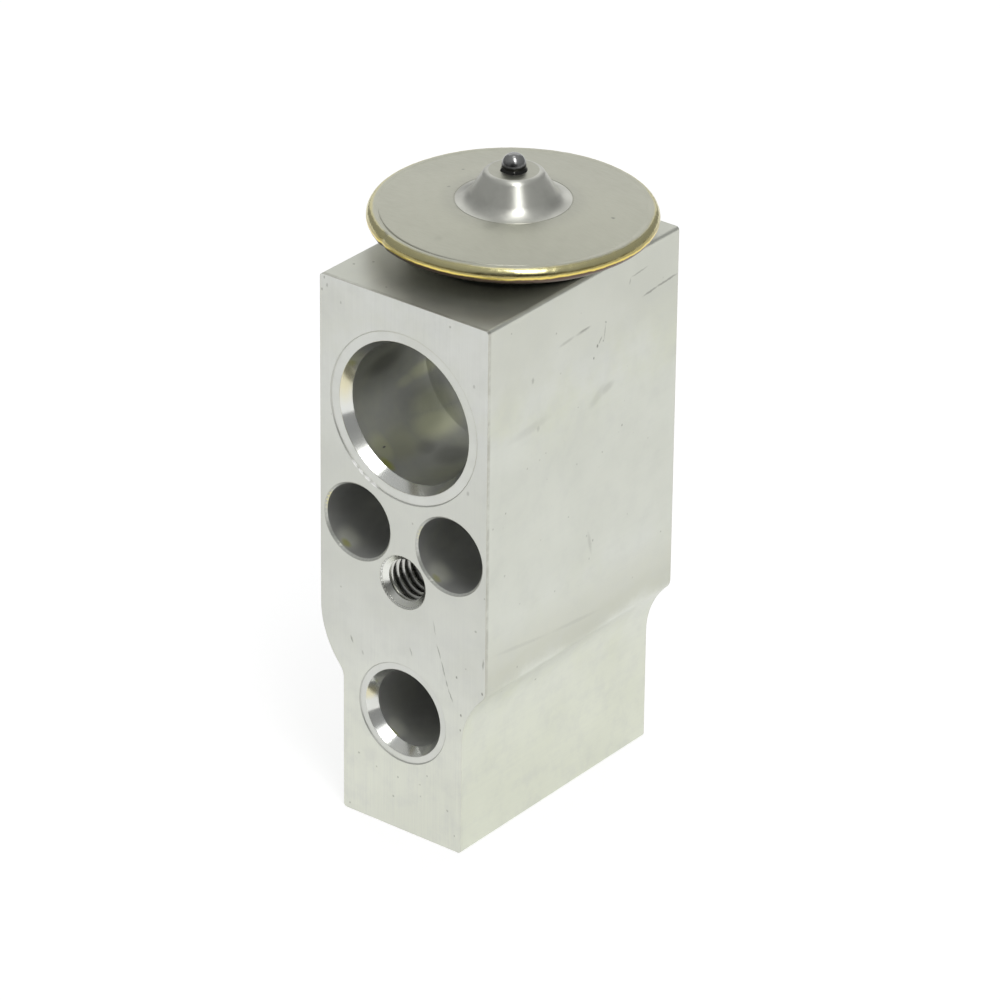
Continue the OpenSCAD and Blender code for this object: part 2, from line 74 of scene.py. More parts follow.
Point = tuple[float, float, float]
Pair = tuple[float, float]
Outline = list[Pair]
Socket = bpy.types.NodeSocket
Piece = bpy.types.Object
Material = bpy.types.Material


def smooth_step(low: float, high: float, value: float) -> float:
    """Return 0 below low and 1 above high, with a smooth rise between.

    Args:
        low: Where the rise starts.
        high: Where the rise ends.
        value: Where to read it.

    Returns:
        The height of the rise, from 0 to 1.
    """
    t = min(1.0, max(0.0, (value - low) / (high - low)))
    return t * t * (3 - 2 * t)


def arc(centre: Pair, radius: float, start: float, end: float, steps: int) -> Outline:
    """Return points along an arc.

    Args:
        centre: Centre of the arc.
        radius: Radius of the arc.
        start: First angle, in degrees.
        end: Last angle, in degrees.
        steps: Number of chords.

    Returns:
        The points, first and last included.
    """
    angles = [math.radians(start + (end - start) * i / steps) for i in range(steps + 1)]
    return [(centre[0] + radius * math.cos(a), centre[1] + radius * math.sin(a)) for a in angles]


def mesh_object(name: str, points: Iterable[Sequence[float]],
                faces: Iterable[Sequence[int]], sharp_angle: float = 35.0) -> Piece:
    """Make a shaded mesh object from points and faces.

    Args:
        name: Name of the object.
        points: The points, in metres.
        faces: Point numbers of each face.
        sharp_angle: Edges that turn more than this many degrees stay sharp.

    Returns:
        The new object, linked to the scene.
    """
    mesh = bpy.data.meshes.new(name)
    mesh.from_pydata([tuple(p) for p in points], [], [tuple(f) for f in faces])
    work = bmesh.new()
    work.from_mesh(mesh)
    bmesh.ops.recalc_face_normals(work, faces=work.faces)
    work.to_mesh(mesh)
    work.free()
    mesh.shade_smooth()
    mesh.set_sharp_from_angle(angle=math.radians(sharp_angle))
    made = bpy.data.objects.new(name, mesh)
    bpy.context.scene.collection.objects.link(made)
    return made


def lathe(name: str, outline: Outline, axis_y: float, segments: int,
          shift: Callable[[float, float, float], Pair] | None = None,
          sharp_angle: float = 35.0) -> Piece:
    """Turn a closed outline round the upright valve axis.

    Args:
        name: Name of the object.
        outline: Closed outline as radius and height, in metres. Points at radius 0 are joined.
        axis_y: Where the axis stands.
        segments: Number of steps round the axis.
        shift: Moves a point, given its angle, radius and height, to a new radius and height.
        sharp_angle: Edges that turn more than this many degrees stay sharp.

    Returns:
        The turned object.
    """
    points: list[Point] = []
    rings: list[list[int]] = []
    for radius, height in outline:
        if radius == 0:
            points.append((0.0, axis_y, height))
            rings.append([len(points) - 1] * segments)
            continue
        ring = []
        for i in range(segments):
            angle = 2 * math.pi * i / segments
            r, z = shift(angle, radius, height) if shift else (radius, height)
            points.append((r * math.cos(angle), axis_y + r * math.sin(angle), z))
            ring.append(len(points) - 1)
        rings.append(ring)
    faces = []
    for low, high in zip(rings, rings[1:] + rings[:1]):
        if low[0] == low[1] and high[0] == high[1]:
            continue
        for i in range(segments):
            j = (i + 1) % segments
            corners = [low[i], low[j], high[j], high[i]]
            faces.append([c for k, c in enumerate(corners) if c not in corners[:k]])
    return mesh_object(name, points, faces, sharp_angle)


def tube_faces(rings: int, sides: int) -> list[list[int]]:
    """Return the faces of a tube with both ends closed.

    Args:
        rings: Number of steps along it.
        sides: Number of points round it.

    Returns:
        Point numbers of each face, where each ring's points follow the last ring's.
    """
    faces = [[i * sides + k, i * sides + (k + 1) % sides,
              (i + 1) * sides + (k + 1) % sides, (i + 1) * sides + k]
             for i in range(rings) for k in range(sides)]
    return [*faces, list(range(sides)), [rings * sides + k for k in reversed(range(sides))]]


def hump(angle: float, place: float, width: float) -> float:
    """Return a smooth hump that is 1 at a place round the axis, all in degrees."""
    return math.exp(-((abs((angle - place + 180) % 360 - 180) / width) ** 2))


def ripple(angle: float, waves: float, level: float) -> float:
    """Return smooth noise round the axis, finer with more waves, at one level of it."""
    return noise.noise(Vector((waves * math.cos(angle), waves * math.sin(angle), level)))


class Nodes:
    """Adds and links the nodes of one node tree."""

    def __init__(self, tree: bpy.types.NodeTree) -> None:
        """Work on an existing tree."""
        self.tree = tree

    def put(self, socket: Socket, value: object) -> None:
        """Link an input to another node's output, or set its value.

        Args:
            socket: The input.
            value: An output to link, or the value to set.
        """
        if isinstance(value, Socket):
            self.tree.links.new(value, socket)
        else:
            socket.default_value = value

    def node(self, kind: str, inputs: dict[str | int, object],
             **settings: object) -> bpy.types.NodeOutputs:
        """Add one node.

        Args:
            kind: Its type, without the leading ShaderNode.
            inputs: What each of its inputs is set or linked to.
            settings: The node's own settings.

        Returns:
            The node's outputs.
        """
        node = self.tree.nodes.new("ShaderNode" + kind)
        for name, value in settings.items():
            setattr(node, name, value)
        for name, value in inputs.items():
            self.put(node.inputs[name], value)
        return node.outputs

    def math(self, kind: str, *values: object) -> Socket:
        """Return one sum of numbers, such as ADD or MAXIMUM."""
        return self.node("Math", dict(enumerate(values)), operation=kind)["Value"]

    def vector(self, kind: str, *values: object) -> bpy.types.NodeOutputs:
        """Return both outputs of a sum of vectors, such as LENGTH or NORMALIZE."""
        return self.node("VectorMath", dict(enumerate(values)), operation=kind)

    def spread(self, value: Socket, source: Pair, target: Pair) -> Socket:
        """Map one range of numbers to another, and hold it at its ends.

        Args:
            value: Number to map.
            source: Range that it comes in.
            target: Range that it goes out in.

        Returns:
            The mapped number.
        """
        ends = dict(zip(("From Min", "From Max", "To Min", "To Max"), (*source, *target)))
        return self.node("MapRange", {"Value": value, **ends},
                         interpolation_type="SMOOTHSTEP")["Result"]


class Graph(Nodes):
    """Adds and links the nodes of one material."""

    jitter = 0.2 * MM
    jitter_scale = 2600.0

    def __init__(self, name: str) -> None:
        """Start a material with one surface shader.

        Args:
            name: Name of the material.
        """
        self.material = bpy.data.materials.new(name)
        self.material.use_nodes = True
        super().__init__(self.material.node_tree)
        self.surface = self.tree.nodes["Principled BSDF"]
        self.place = self.node("TexCoord", {})["Object"]

    def stretched(self, scale: Sequence[float], offset: Sequence[float] = (0, 0, 0)) -> Socket:
        """Return the object's own coordinates, scaled and then moved."""
        inputs = {"Vector": self.place, "Scale": scale, "Location": offset}
        return self.node("Mapping", inputs)["Vector"]

    def ragged_place(self) -> Socket:
        """Return the object's own coordinates, shaken so that marks get ragged edges."""
        noisy = self.node("TexNoise", {"Vector": self.place, "Scale": self.jitter_scale})["Color"]
        centred = self.stretched((1, 1, 1), (-self.jitter / 2,) * 3)
        return self.vector("MULTIPLY_ADD", noisy, (self.jitter,) * 3, centred)["Vector"]

    def noise(self, where: Socket, scale: float, detail: float = 2.0,
              roughness: float = 0.5) -> Socket:
        """Return smooth noise from 0 to 1, with finer layers of a given number and weight."""
        return self.node("TexNoise", {"Vector": where, "Scale": scale, "Detail": detail,
                                      "Roughness": roughness})["Fac"]

    def mix(self, share: object, first: object, second: object) -> Socket:
        """Return a colour between two others, with so much of the second."""
        ends = [(*c, 1.0) if isinstance(c, tuple) else c for c in (first, second)]
        return self.node("Mix", {"Factor": share, 6: ends[0], 7: ends[1]}, data_type="RGBA")[2]

    def part(self, axis: str) -> Socket:
        """Return one axis of the object's own coordinates, in metres."""
        return self.node("SeparateXYZ", {0: self.place})[axis]

    def radius(self, axis_y: float) -> Socket:
        """Return the distance from the upright valve axis, in metres."""
        return self.vector("LENGTH", self.stretched((1, 1, 0), (0, -axis_y, 0)))["Value"]

    def uneven(self, value: Socket, cloud: Socket, amount: float) -> Socket:
        """Return a measure made uneven by a noise, by half the amount at most."""
        swing = self.math("MULTIPLY", self.math("SUBTRACT", cloud, 0.5), amount)
        return self.math("ADD", value, swing)

    def specks(self, where: Socket, scale: float, size: float, share: float) -> Socket:
        """Return small scattered specks as a mask.

        Args:
            where: Coordinates to read it at.
            scale: Cells for each unit of the coordinates, each with one speck at most.
            size: Greatest radius of a speck, as a share of its cell.
            share: Share of the cells that have one.

        Returns:
            The mask, 1 in the specks.
        """
        cells = self.node("TexVoronoi", {"Vector": where, "Scale": scale})
        draw = self.node("SeparateColor", {"Color": cells["Color"]})["Red"]
        near = self.spread(cells["Distance"], (size * 0.4, size), (1.0, 0.0))
        return self.math("MULTIPLY", near, self.math("LESS_THAN", draw, share))

    def broken_edge(self, radius: float) -> tuple[Socket, Socket]:
        """Round the sharp edges a little, as deburring does.

        Args:
            radius: Radius of the rounding, in metres.

        Returns:
            The rounded normal, and a mask that is 1 on the edges.
        """
        bevel = self.node("Bevel", {"Radius": radius}, samples=4)["Normal"]
        turn = self.vector("DOT_PRODUCT", bevel, self.node("NewGeometry", {})["Normal"])
        return bevel, self.spread(turn["Value"], (0.90, 0.995), (1, 0))

    def set_surface(self, looks: dict[str, object]) -> Material:
        """Set or link inputs of the surface shader.

        Args:
            looks: What each of its inputs is set or linked to.

        Returns:
            The material.
        """
        for name, value in looks.items():
            self.put(self.surface.inputs[name], value)
        return self.material

    def finish(self, colour: Socket, rough: Socket, metal: float, height: Socket, depth: float,
               normal: Socket | None = None) -> Material:
        """Give the surface its colour, its shine and its relief.

        Args:
            colour: Its colour.
            rough: Its roughness.
            metal: How far it shines as bare metal, from 0 to 1.
            height: Its relief, from 0 to 1.
            depth: What a height of 1 stands for, in metres.
            normal: Normal of the smooth surface, where it isn't the mesh's own.

        Returns:
            The material.
        """
        relief = {"Distance": depth, "Height": height, **({"Normal": normal} if normal else {})}
        return self.set_surface({"Base Color": colour, "Roughness": rough, "Metallic": metal,
                                 "Normal": self.node("Bump", relief)["Normal"]})


@dataclass(frozen=True)
class Mark:
    """A scratch, dent, speck or spot of painted light and shade, as a thin ellipse on a surface."""

    centre: Point
    size: Point
    turn: Point = (0.0, 0.0, 0.0)
    strength: float = 1.0

    def mask(self, graph: Graph, where: Socket) -> Socket:
        """Return 1 inside the mark and 0 outside it.

        Args:
            graph: Material that shows the mark.
            where: Coordinates of the surface, in metres.

        Returns:
            The mask, soft at its edge.
        """
        inputs = {"Vector": where, "Location": [v * MM for v in self.centre],
                  "Rotation": self.turn, "Scale": [v * MM for v in self.size]}
        local = graph.node("Mapping", inputs, vector_type="TEXTURE")["Vector"]
        return graph.spread(graph.vector("LENGTH", local)["Value"], (0.25, 1.0), (self.strength, 0.0))


@dataclass(frozen=True)
class Band:
    """A soft band of another tone between two heights, in millimetres."""

    low: float
    high: float
    soft: float
    colour: Colour

    def paint(self, graph: Graph, level: Socket, colour: Socket) -> Socket:
        """Return a colour with the band laid over it.

        Args:
            graph: Material that shows the band.
            level: Height of the surface, in metres.
            colour: Colour without the band.

        Returns:
            The banded colour.
        """
        ends = [graph.spread(level, ((end - self.soft) * MM, (end + self.soft) * MM), target)
                for end, target in ((self.low, (0.0, 1.0)), (self.high, (1.0, 0.0)))]
        return graph.mix(graph.math("MULTIPLY", *ends), colour, self.colour)


class Plane(Enum):
    """Face of the block that a scratch or a painted highlight line lies on."""

    SIDE = 0
    FRONT = 1


@dataclass(frozen=True)
class ScratchAndGlintLine:
    """A thin line of joined segments on one face, with points in millimetres, for a scratch or a
    painted highlight.
    """

    path: tuple[Pair, ...]
    width: float = 0.12
    strength: float = 0.7
    overlap: float = 1.24

    def marks(self, plane: Plane, level: float) -> list[Mark]:
        """Return one mark for each segment, long enough to run into the next.

        Args:
            plane: Face that it lies on.
            level: Where that face stands, in millimetres.

        Returns:
            The marks.
        """
        made = []
        for (u0, v0), (u1, v1) in zip(self.path, self.path[1:]):
            half = math.hypot(u1 - u0, v1 - v0) * self.overlap / 2
            angle = math.atan2(v1 - v0, u1 - u0)
            u, v = (u0 + u1) / 2, (v0 + v1) / 2
            if plane is Plane.SIDE:
                made.append(Mark((level, u, v), (1, half, self.width), (angle, 0, 0), self.strength))
            else:
                made.append(Mark((u, level, v), (half, 1, self.width), (0, -angle, 0), self.strength))
        return made


def speck(u: float, v: float, size: float = 0.16, strength: float = 0.8) -> ScratchAndGlintLine:
    """Return a small upright speck, as a short scratch."""
    return ScratchAndGlintLine(((u, v + size), (u, v - size)), size * 0.8, strength)


@dataclass(frozen=True)
class WearAndPaintedLight:
    """Marks that share one colour and one depth: real scratches and specks, and spots of painted
    light and shade.
    """

    marks: tuple[Mark, ...]
    colour: Colour = (0.24, 0.24, 0.21)
    cut: float = 2.0

    def mask(self, graph: Graph, where: Socket) -> Socket:
        """Return 1 inside any of the marks and 0 outside them."""
        masks = [mark.mask(graph, where) for mark in self.marks]
        return reduce(lambda first, second: graph.math("MAXIMUM", first, second), masks)

    def lay(self, graph: Graph, where: Socket, colour: Socket,
            height: Socket) -> tuple[Socket, Socket]:
        """Lay the marks over a colour and cut them into a height.

        Args:
            graph: Material that shows them.
            where: Coordinates of the surface, a little uneven.
            colour: Colour without the marks.
            height: Height without the marks.

        Returns:
            The marked colour and height.
        """
        scarred = self.mask(graph, where)
        colour = graph.mix(scarred, colour, self.colour)
        if not self.cut:
            return colour, height
        return colour, graph.math("SUBTRACT", height, graph.math("MULTIPLY", scarred, self.cut))


def painted_light_spots(colour: Colour, *rows: tuple[float, ...]) -> WearAndPaintedLight:
    """Return soft spots of painted light and shade in one colour, from rows of place, size, turn
    about Y and strength.
    """
    marks = (Mark(row[:3], row[3:6], (0, row[6], 0), row[7]) for row in rows)
    return WearAndPaintedLight(tuple(marks), colour, 0.0)


def toned(colour: Colour, share: float) -> Colour:
    """Return a colour made darker or lighter."""
    return tuple(c * share for c in colour)


@dataclass(frozen=True)
class CutMetal:
    """Bare metal with the fine lines that a die, a cutter or a drill leaves."""

    name: str
    colour: Colour
    stain: Colour
    grain: Point
    roughness: Pair
    depth: float
    stain_share: float = 0.5
    line_share: float = 0.25
    # Real scratches and specks, and spots of painted light and shade.
    wear_and_painted_light: tuple[WearAndPaintedLight, ...] = ()
    specks: float = 0.0
    speck_colour: Colour = (0.30, 0.30, 0.25)
    front_edge_strip: Band | None = None
    bloom: Colour | None = None
    metal: float = 1.0
    edge: float = 0.0
    edge_colour: Colour = (0.50, 0.48, 0.36)
    tint_rise: Pair = (0.017, 0.027)
    wander: float = 6 * MM
    polished: tuple[Mark, ...] = ()
    # Bands of painted light and shade by height.
    painted_light_bands: tuple[Band, ...] = ()

    def build(self) -> Material:
        """Return the finish as a material."""
        graph = Graph(self.name)
        fine = graph.noise(graph.stretched(self.grain), 1.0, 3.0, 0.6)
        broad = graph.noise(graph.stretched([g * 0.12 for g in self.grain]), 1.0, 2.0)
        cloud = graph.noise(graph.place, 120.0, 5.0, 0.6)
        patch = graph.noise(graph.stretched((1, 1, 1), (3.7, 1.3, 9.1)), 420.0, 3.0, 0.6)
        colour = graph.mix(graph.spread(cloud, (0.40, 0.66), (0.0, self.stain_share)),
                           self.colour, self.stain)
        if self.bloom:
            drift = graph.noise(graph.stretched((1, 1, 1), (8.2, 5.5, 2.4)), 95.0, 4.0, 0.65)
            colour = graph.mix(graph.spread(drift, (0.45, 0.68), (0.0, 0.7)), colour, self.bloom)
        level = graph.uneven(graph.part("Z"), cloud, self.wander)
        for band in self.painted_light_bands:
            colour = band.paint(graph, level, colour)
        worn = graph.math("MULTIPLY", graph.spread(patch, (0.40, 0.75), (0.0, 1.0)), 0.36)
        worn = graph.math("ADD", worn, graph.spread(fine, (0.30, 0.70), (0.0, self.line_share)))
        colour = graph.mix(worn, colour, toned(self.colour, 0.88))
        lines = graph.math("ADD", fine, graph.math("MULTIPLY", broad, 0.8))
        normal = None
        # Tints the rounded rims with the edge colour, with less of it low down.
        if self.edge:
            normal, rim = graph.broken_edge(self.edge)
            edge_darkening = graph.math("MULTIPLY", graph.spread(patch, (0.30, 0.60), (0.25, 1.0)),
                              graph.spread(level, self.tint_rise, (0.25, 1.0)))
            colour = graph.mix(graph.math("MULTIPLY", rim, edge_darkening), colour, self.edge_colour)
        # Darkens a strip of the side along its front edge, with less of it low down.
        if self.front_edge_strip:
            broken = graph.noise(graph.stretched((300, 300, 420)), 1.0, 4.0, 0.7)
            edge_darkening = graph.math("MULTIPLY", graph.spread(broken, (0.36, 0.60), (0.25, 1.0)),
                              graph.spread(level, self.tint_rise, (0.1, 1.0)))
            colour = graph.mix(edge_darkening, colour, self.front_edge_strip.paint(graph, graph.part("Y"), colour))
        if self.wear_and_painted_light or self.specks:
            where = graph.ragged_place()
            for wear_and_painted_light in self.wear_and_painted_light:
                colour, lines = wear_and_painted_light.lay(graph, where, colour, lines)
            if self.specks:
                pits = graph.math("MULTIPLY", graph.specks(where, 800.0, 0.16, self.specks), 0.6)
                colour = graph.mix(pits, colour, self.speck_colour)
                lines = graph.math("SUBTRACT", lines, pits)
        rough = graph.spread(cloud, (0.3, 0.7), self.roughness)
        if self.polished:
            bright = WearAndPaintedLight(self.polished).mask(graph, graph.place)
            rough = graph.math("MULTIPLY", rough, graph.spread(bright, (0.0, 1.0), (1.0, 0.82)))
        return graph.finish(colour, rough, self.metal, lines, self.depth, normal)


@dataclass(frozen=True)
class PressedSteel:
    """Satin sheet steel, darker in a ring round the foot of its cap."""

    name: str
    colour: Colour
    foot_ring_colour: Colour
    axis_y: float
    foot_ring_radii: Pair
    roughness: Pair
    wear_and_painted_light: tuple[WearAndPaintedLight, ...] = ()

    def build(self) -> Material:
        """Return the finish as a material."""
        graph = Graph(self.name)
        cloud = graph.noise(graph.place, 140.0, 4.0, 0.6)
        grain = graph.noise(graph.stretched((900, 9000, 900)), 1.0, 2.0)
        reach = graph.math("ADD", graph.radius(self.axis_y),
                           graph.math("MULTIPLY", cloud, 1.6 * MM))
        ring = graph.spread(reach, self.foot_ring_radii, (0.85, 0.0))
        colour = graph.mix(graph.spread(cloud, (0.4, 0.7), (0.0, 0.35)), self.colour,
                           toned(self.colour, 0.93))
        colour = graph.mix(ring, colour, self.foot_ring_colour)
        height = graph.math("ADD", grain, graph.math("MULTIPLY", cloud, 2.0))
        where = graph.ragged_place()
        for wear_and_painted_light in self.wear_and_painted_light:
            colour, height = wear_and_painted_light.lay(graph, where, colour, height)
        rough = graph.spread(grain, (0.3, 0.7), self.roughness)
        return graph.finish(colour, rough, 1.0, height, 4.0 * UM)


@dataclass(frozen=True)
class SpunSteel:
    """Drawn and polished sheet, which spreads a highlight down its slope."""

    name: str
    colour: Colour
    stain: Colour
    axis_y: float
    roughness: Pair
    stretch: float = 0.62
    wear_and_painted_light: tuple[WearAndPaintedLight, ...] = ()

    def build(self) -> Material:
        """Return the finish as a material."""
        graph = Graph(self.name)
        cloud = graph.noise(graph.place, 380.0, 4.0, 0.6)
        rings = graph.noise(graph.stretched((500, 500, 9000)), 1.0, 2.0)
        outward = graph.vector("NORMALIZE", graph.stretched((1, 1, 0), (0, -self.axis_y, 0)))
        graph.set_surface({"Tangent": outward["Vector"], "Anisotropic": self.stretch})
        colour = graph.mix(graph.spread(cloud, (0.42, 0.70), (0.0, 0.7)), self.colour, self.stain)
        for wear_and_painted_light in self.wear_and_painted_light:
            colour, rings = wear_and_painted_light.lay(graph, graph.place, colour, rings)
        rough = graph.spread(cloud, (0.3, 0.7), self.roughness)
        return graph.finish(colour, rough, 1.0, rings, 1.0 * UM)


@dataclass(frozen=True)
class HeatTint:
    """Weld bead with the straw, gold and brown colours of heated steel."""

    name: str
    dull: Colour
    bright: Colour
    olive: Colour
    gold: Colour
    brown: Colour
    seam_z: float
    half_height: float
    axis_y: float
    outer_r: float

    def build(self) -> Material:
        """Return the finish as a material."""
        graph = Graph(self.name)
        cloud = graph.noise(graph.place, 420.0, 3.0, 0.6)
        reach = graph.uneven(graph.radius(self.axis_y), cloud, 0.35 * MM)
        level = graph.uneven(graph.part("Z"), cloud, 0.5 * MM)
        crown, top, gold, under = (
            graph.spread(value, (middle + self.half_height * low, middle + self.half_height * high),
                         target)
            for value, middle, low, high, target in (
                (reach, self.outer_r, -0.85, -0.50, (1.0, 0.0)),
                (level, self.seam_z, 0.28, 0.46, (0.0, 1.0)),
                (level, self.seam_z, -0.02, 0.10, (0.0, 1.0)),
                (level, self.seam_z, -0.26, -0.14, (1.0, 0.0))))
        colour = graph.mix(top, graph.mix(gold, self.gold, self.olive), self.bright)
        colour = graph.mix(crown, graph.mix(under, colour, self.brown), self.dull)
        shine = graph.spread(cloud, (0.3, 0.7), (0.17, 0.25))
        rough = graph.math("ADD", shine, graph.math("MULTIPLY", crown, 0.19))
        return graph.finish(colour, rough, 1.0, graph.noise(graph.place, 1500.0, 2.0), 3.0 * UM)


@dataclass(frozen=True)
class WeldedBall:
    """Bright steel ball, blackened round its foot by the weld."""

    name: str
    colour: Colour
    soot: Colour
    middle_z: float
    radius: float

    def build(self) -> Material:
        """Return the finish as a material."""
        graph = Graph(self.name)
        cloud = graph.noise(graph.place, 900.0, 3.0, 0.6)
        level = graph.uneven(graph.part("Z"), cloud, 1.2 * MM)
        low = graph.spread(level, (self.middle_z, self.middle_z + self.radius * 0.6), (1.0, 0.0))
        rough = graph.spread(cloud, (0.3, 0.7), (0.12, 0.22))
        return graph.finish(graph.mix(low, self.colour, self.soot), rough, 1.0, cloud, 8.0 * UM)


@dataclass(frozen=True)
class Rubber:
    """Matt black rubber of the ring seals."""

    name: str
    colour: Colour = (0.02, 0.02, 0.022)

    def build(self) -> Material:
        """Return the finish as a material."""
        graph = Graph(self.name)
        cloud = graph.noise(graph.place, 900.0, 3.0)
        colour = graph.mix(cloud, self.colour, toned(self.colour, 1.8))
        rough = graph.spread(cloud, (0.3, 0.7), (0.5, 0.7))
        return graph.finish(colour, rough, 0.0, cloud, 8.0 * UM)


def coat(piece: Piece, *materials: Material) -> None:
    """Give a piece these materials in place of any that it has, and log it.

    Args:
        piece: The piece.
        materials: Its materials, in the order of its faces' numbers.
    """
    piece.data.materials.clear()
    for material in materials:
        piece.data.materials.append(material)
    LOG.info("%s: %d faces", piece.name, len(piece.data.polygons))


class BlockRegion(Enum):
    """Surfaces of the block, by the way they were made."""

    MILLED = 0
    EXTRUDED = 1
    BORED = 2
    CONE = 3
    RING = 4
    RING_EDGE = 5
    SUCTION = 6
    CHAMFER = 7


@dataclass
class ValveBlock:
    """The drilled aluminium block and the thread turns of its stud hole.

    The thread form is pairs of a share of the pitch and 1 for a crest or 0 for a root. Slopes
    are how far a face looks along an axis, from 0 to 1.
    """

    node: str = "valve_block"
    body: str = "block"
    foot_half: float = 8.2 * MM
    edge_radius: float = 0.41 * MM
    ring_depth: float = 0.12 * MM
    square_on: float = 0.99
    edge_slope: float = 0.5
    end_slope: float = 0.1
    cone_slopes: Pair = (0.2, 0.9)
    bolt_x: float = 6.35 * MM
    bolt_z: float = 36.5 * MM
    bolt_reach: float = 4.9 * MM
    suction_low: float = 42.0 * MM
    suction_half: float = 8.6 * MM
    stud_z: float = 31.15 * MM
    stud_radius: float = 3.0 * MM
    stud_core: float = 2.46 * MM
    stud_pitch: float = 1.0 * MM
    stud_mouth: float = 3.2 * MM
    stud_start: float = 0.5 * MM
    stud_depth: float = 11.4 * MM
    sink_depth: float = 0.72 * MM
    sink_low: float = 1.1 * MM
    sink_wall: float = 0.1 * MM
    bite: float = 0.03 * MM
    stud_steps: int = 64
    thread_form: tuple[tuple[float, int], ...] = ((0.06, 0), (0.38, 1), (0.62, 1), (0.94, 0))
    sink_segments: int = 96
    front_break: float = 0.09 * MM
    edge_break: float = 0.13 * MM

    def region(self, face: bpy.types.MeshPolygon, low: Vector, high: Vector) -> BlockRegion:
        """Return which surface a face belongs to.

        Args:
            face: Face of the block's mesh.
            low: Lowest corner of the block.
            high: Highest corner of the block.

        Returns:
            The surface.
        """
        normal, centre = face.normal, face.center
        skin = min(centre.y - low.y, high.y - centre.y)
        if abs(normal.y) > self.square_on and skin < self.ring_depth * 1.5:
            return BlockRegion.MILLED if skin < self.ring_depth / 2 else BlockRegion.RING
        if abs(normal.y) > self.edge_slope and skin < self.ring_depth * 0.9:
            return BlockRegion.RING_EDGE
        side = abs(centre.x) > self.foot_half and normal.x * centre.x > 0
        flat_end = (centre.z > high.z - self.edge_radius and normal.z > self.end_slope
                    or centre.z < low.z + self.edge_radius and normal.z < -self.end_slope)
        if side or flat_end:
            return BlockRegion.EXTRUDED
        if self.cone_slopes[0] < abs(normal.y) < self.cone_slopes[1]:
            off = math.hypot(abs(centre.x) - self.bolt_x, centre.z - self.bolt_z)
            return BlockRegion.CHAMFER if off < self.bolt_reach else BlockRegion.CONE
        inside = centre.z > self.suction_low and abs(centre.x) < self.suction_half
        return BlockRegion.SUCTION if inside else BlockRegion.BORED

    def side_scratches(self) -> list[ScratchAndGlintLine]:
        """Return the scratches and smears of the right side, as y and z."""
        specks = ((1.5, 32.4, 0.20, 0.5), (0.4, 33.4, 0.16, 0.4), (0.9, 30.4, 0.16, 0.4),
                  (1.7, 56.08, 0.26, 0.85), (2.75, 56.35, 0.17, 0.6), (3.14, 58.41),
                  (1.11, 54.86, 0.20), (-9.64, 56.3, 0.40, 0.38), (6.43, 44.64),
                  (-8.6, 50.2, 0.45, 0.26))
        return [
            ScratchAndGlintLine(((-5.2, 58.55), (-2.35, 58.80), (0.4, 58.92)), 0.30, 0.30),
            ScratchAndGlintLine(((-1.9, 58.86), (0.45, 58.98)), 0.20, 0.62),
            ScratchAndGlintLine(((9.7, 59.00), (12.6, 59.25), (16.1, 59.44)), 0.20, 0.60),
            ScratchAndGlintLine(((12.0, 59.2), (14.4, 59.36)), 0.19, 0.60),
            ScratchAndGlintLine(((7.3, 61.3), (7.45, 62.1), (10.6, 62.35)), 0.15, 0.42),
            ScratchAndGlintLine(((3.14, 58.4), (2.85, 56.3)), 0.10, 0.45),
            ScratchAndGlintLine(((2.5, 57.0), (1.9, 56.2)), 0.13, 0.55),
            ScratchAndGlintLine(((4.9, 50.6), (2.2, 50.0)), 0.75, 0.22),
            ScratchAndGlintLine(((3.6, 51.0), (0.4, 49.0)), 0.9, 0.15),
            ScratchAndGlintLine(((-13.8, 50.4), (-6.2, 50.9)), 0.8, 0.13),
            ScratchAndGlintLine(((-16.0, 25.4), (-6.0, 24.0), (3.0, 23.1)), 0.35, 0.12),
            ScratchAndGlintLine(((0.6, 33.9), (1.3, 30.8)), 0.38, 0.20),
            *(speck(*row) for row in specks)]

    def front_scratches(self) -> list[ScratchAndGlintLine]:
        """Return the scratches and specks of the front, as x and z."""
        specks = ((7.56, 22.03, 0.18, 0.9), (-0.61, 6.51, 0.16, 0.7), (3.51, 8.16, 0.13, 0.6),
                  (7.41, 1.96, 0.15, 0.6), (11.1, 21.2, 0.22, 0.9), (8.2, 17.5, 0.2, 0.8),
                  (8.1, 15.6, 0.17, 0.8), (-10.9, 64.6, 0.2, 0.6), (-10.5, 63.8, 0.25, 0.5),
                  (-11.2, 63.1, 0.2, 0.6), (8.0, 49.6, 0.25, 0.5), (8.9, 45.0, 0.3, 0.4),
                  (3.0, 60.0, 0.2, 0.4), (9.6, 58.0, 0.25, 0.4), (-8.6, 62.3, 0.2, 0.4))
        return [
            ScratchAndGlintLine(((4.23, 28.0), (4.6, 26.2)), 0.09, 0.45),
            ScratchAndGlintLine(((4.75, 25.2), (5.37, 23.43), (6.02, 21.29), (6.37, 20.29), (7.05, 18.7)),
                    0.10, 0.75),
            ScratchAndGlintLine(((-7.35, 22.1), (-6.9, 21.2)), 0.16, 0.6),
            ScratchAndGlintLine(((1.0, 23.5), (1.4, 22.4)), 0.12, 0.5),
            ScratchAndGlintLine(((-5.7, 20.8), (-5.5, 20.2)), 0.2, 0.35),
            ScratchAndGlintLine(((11.2, 25.6), (11.15, 24.2)), 0.16, 0.55),
            *(speck(*row) for row in specks)]

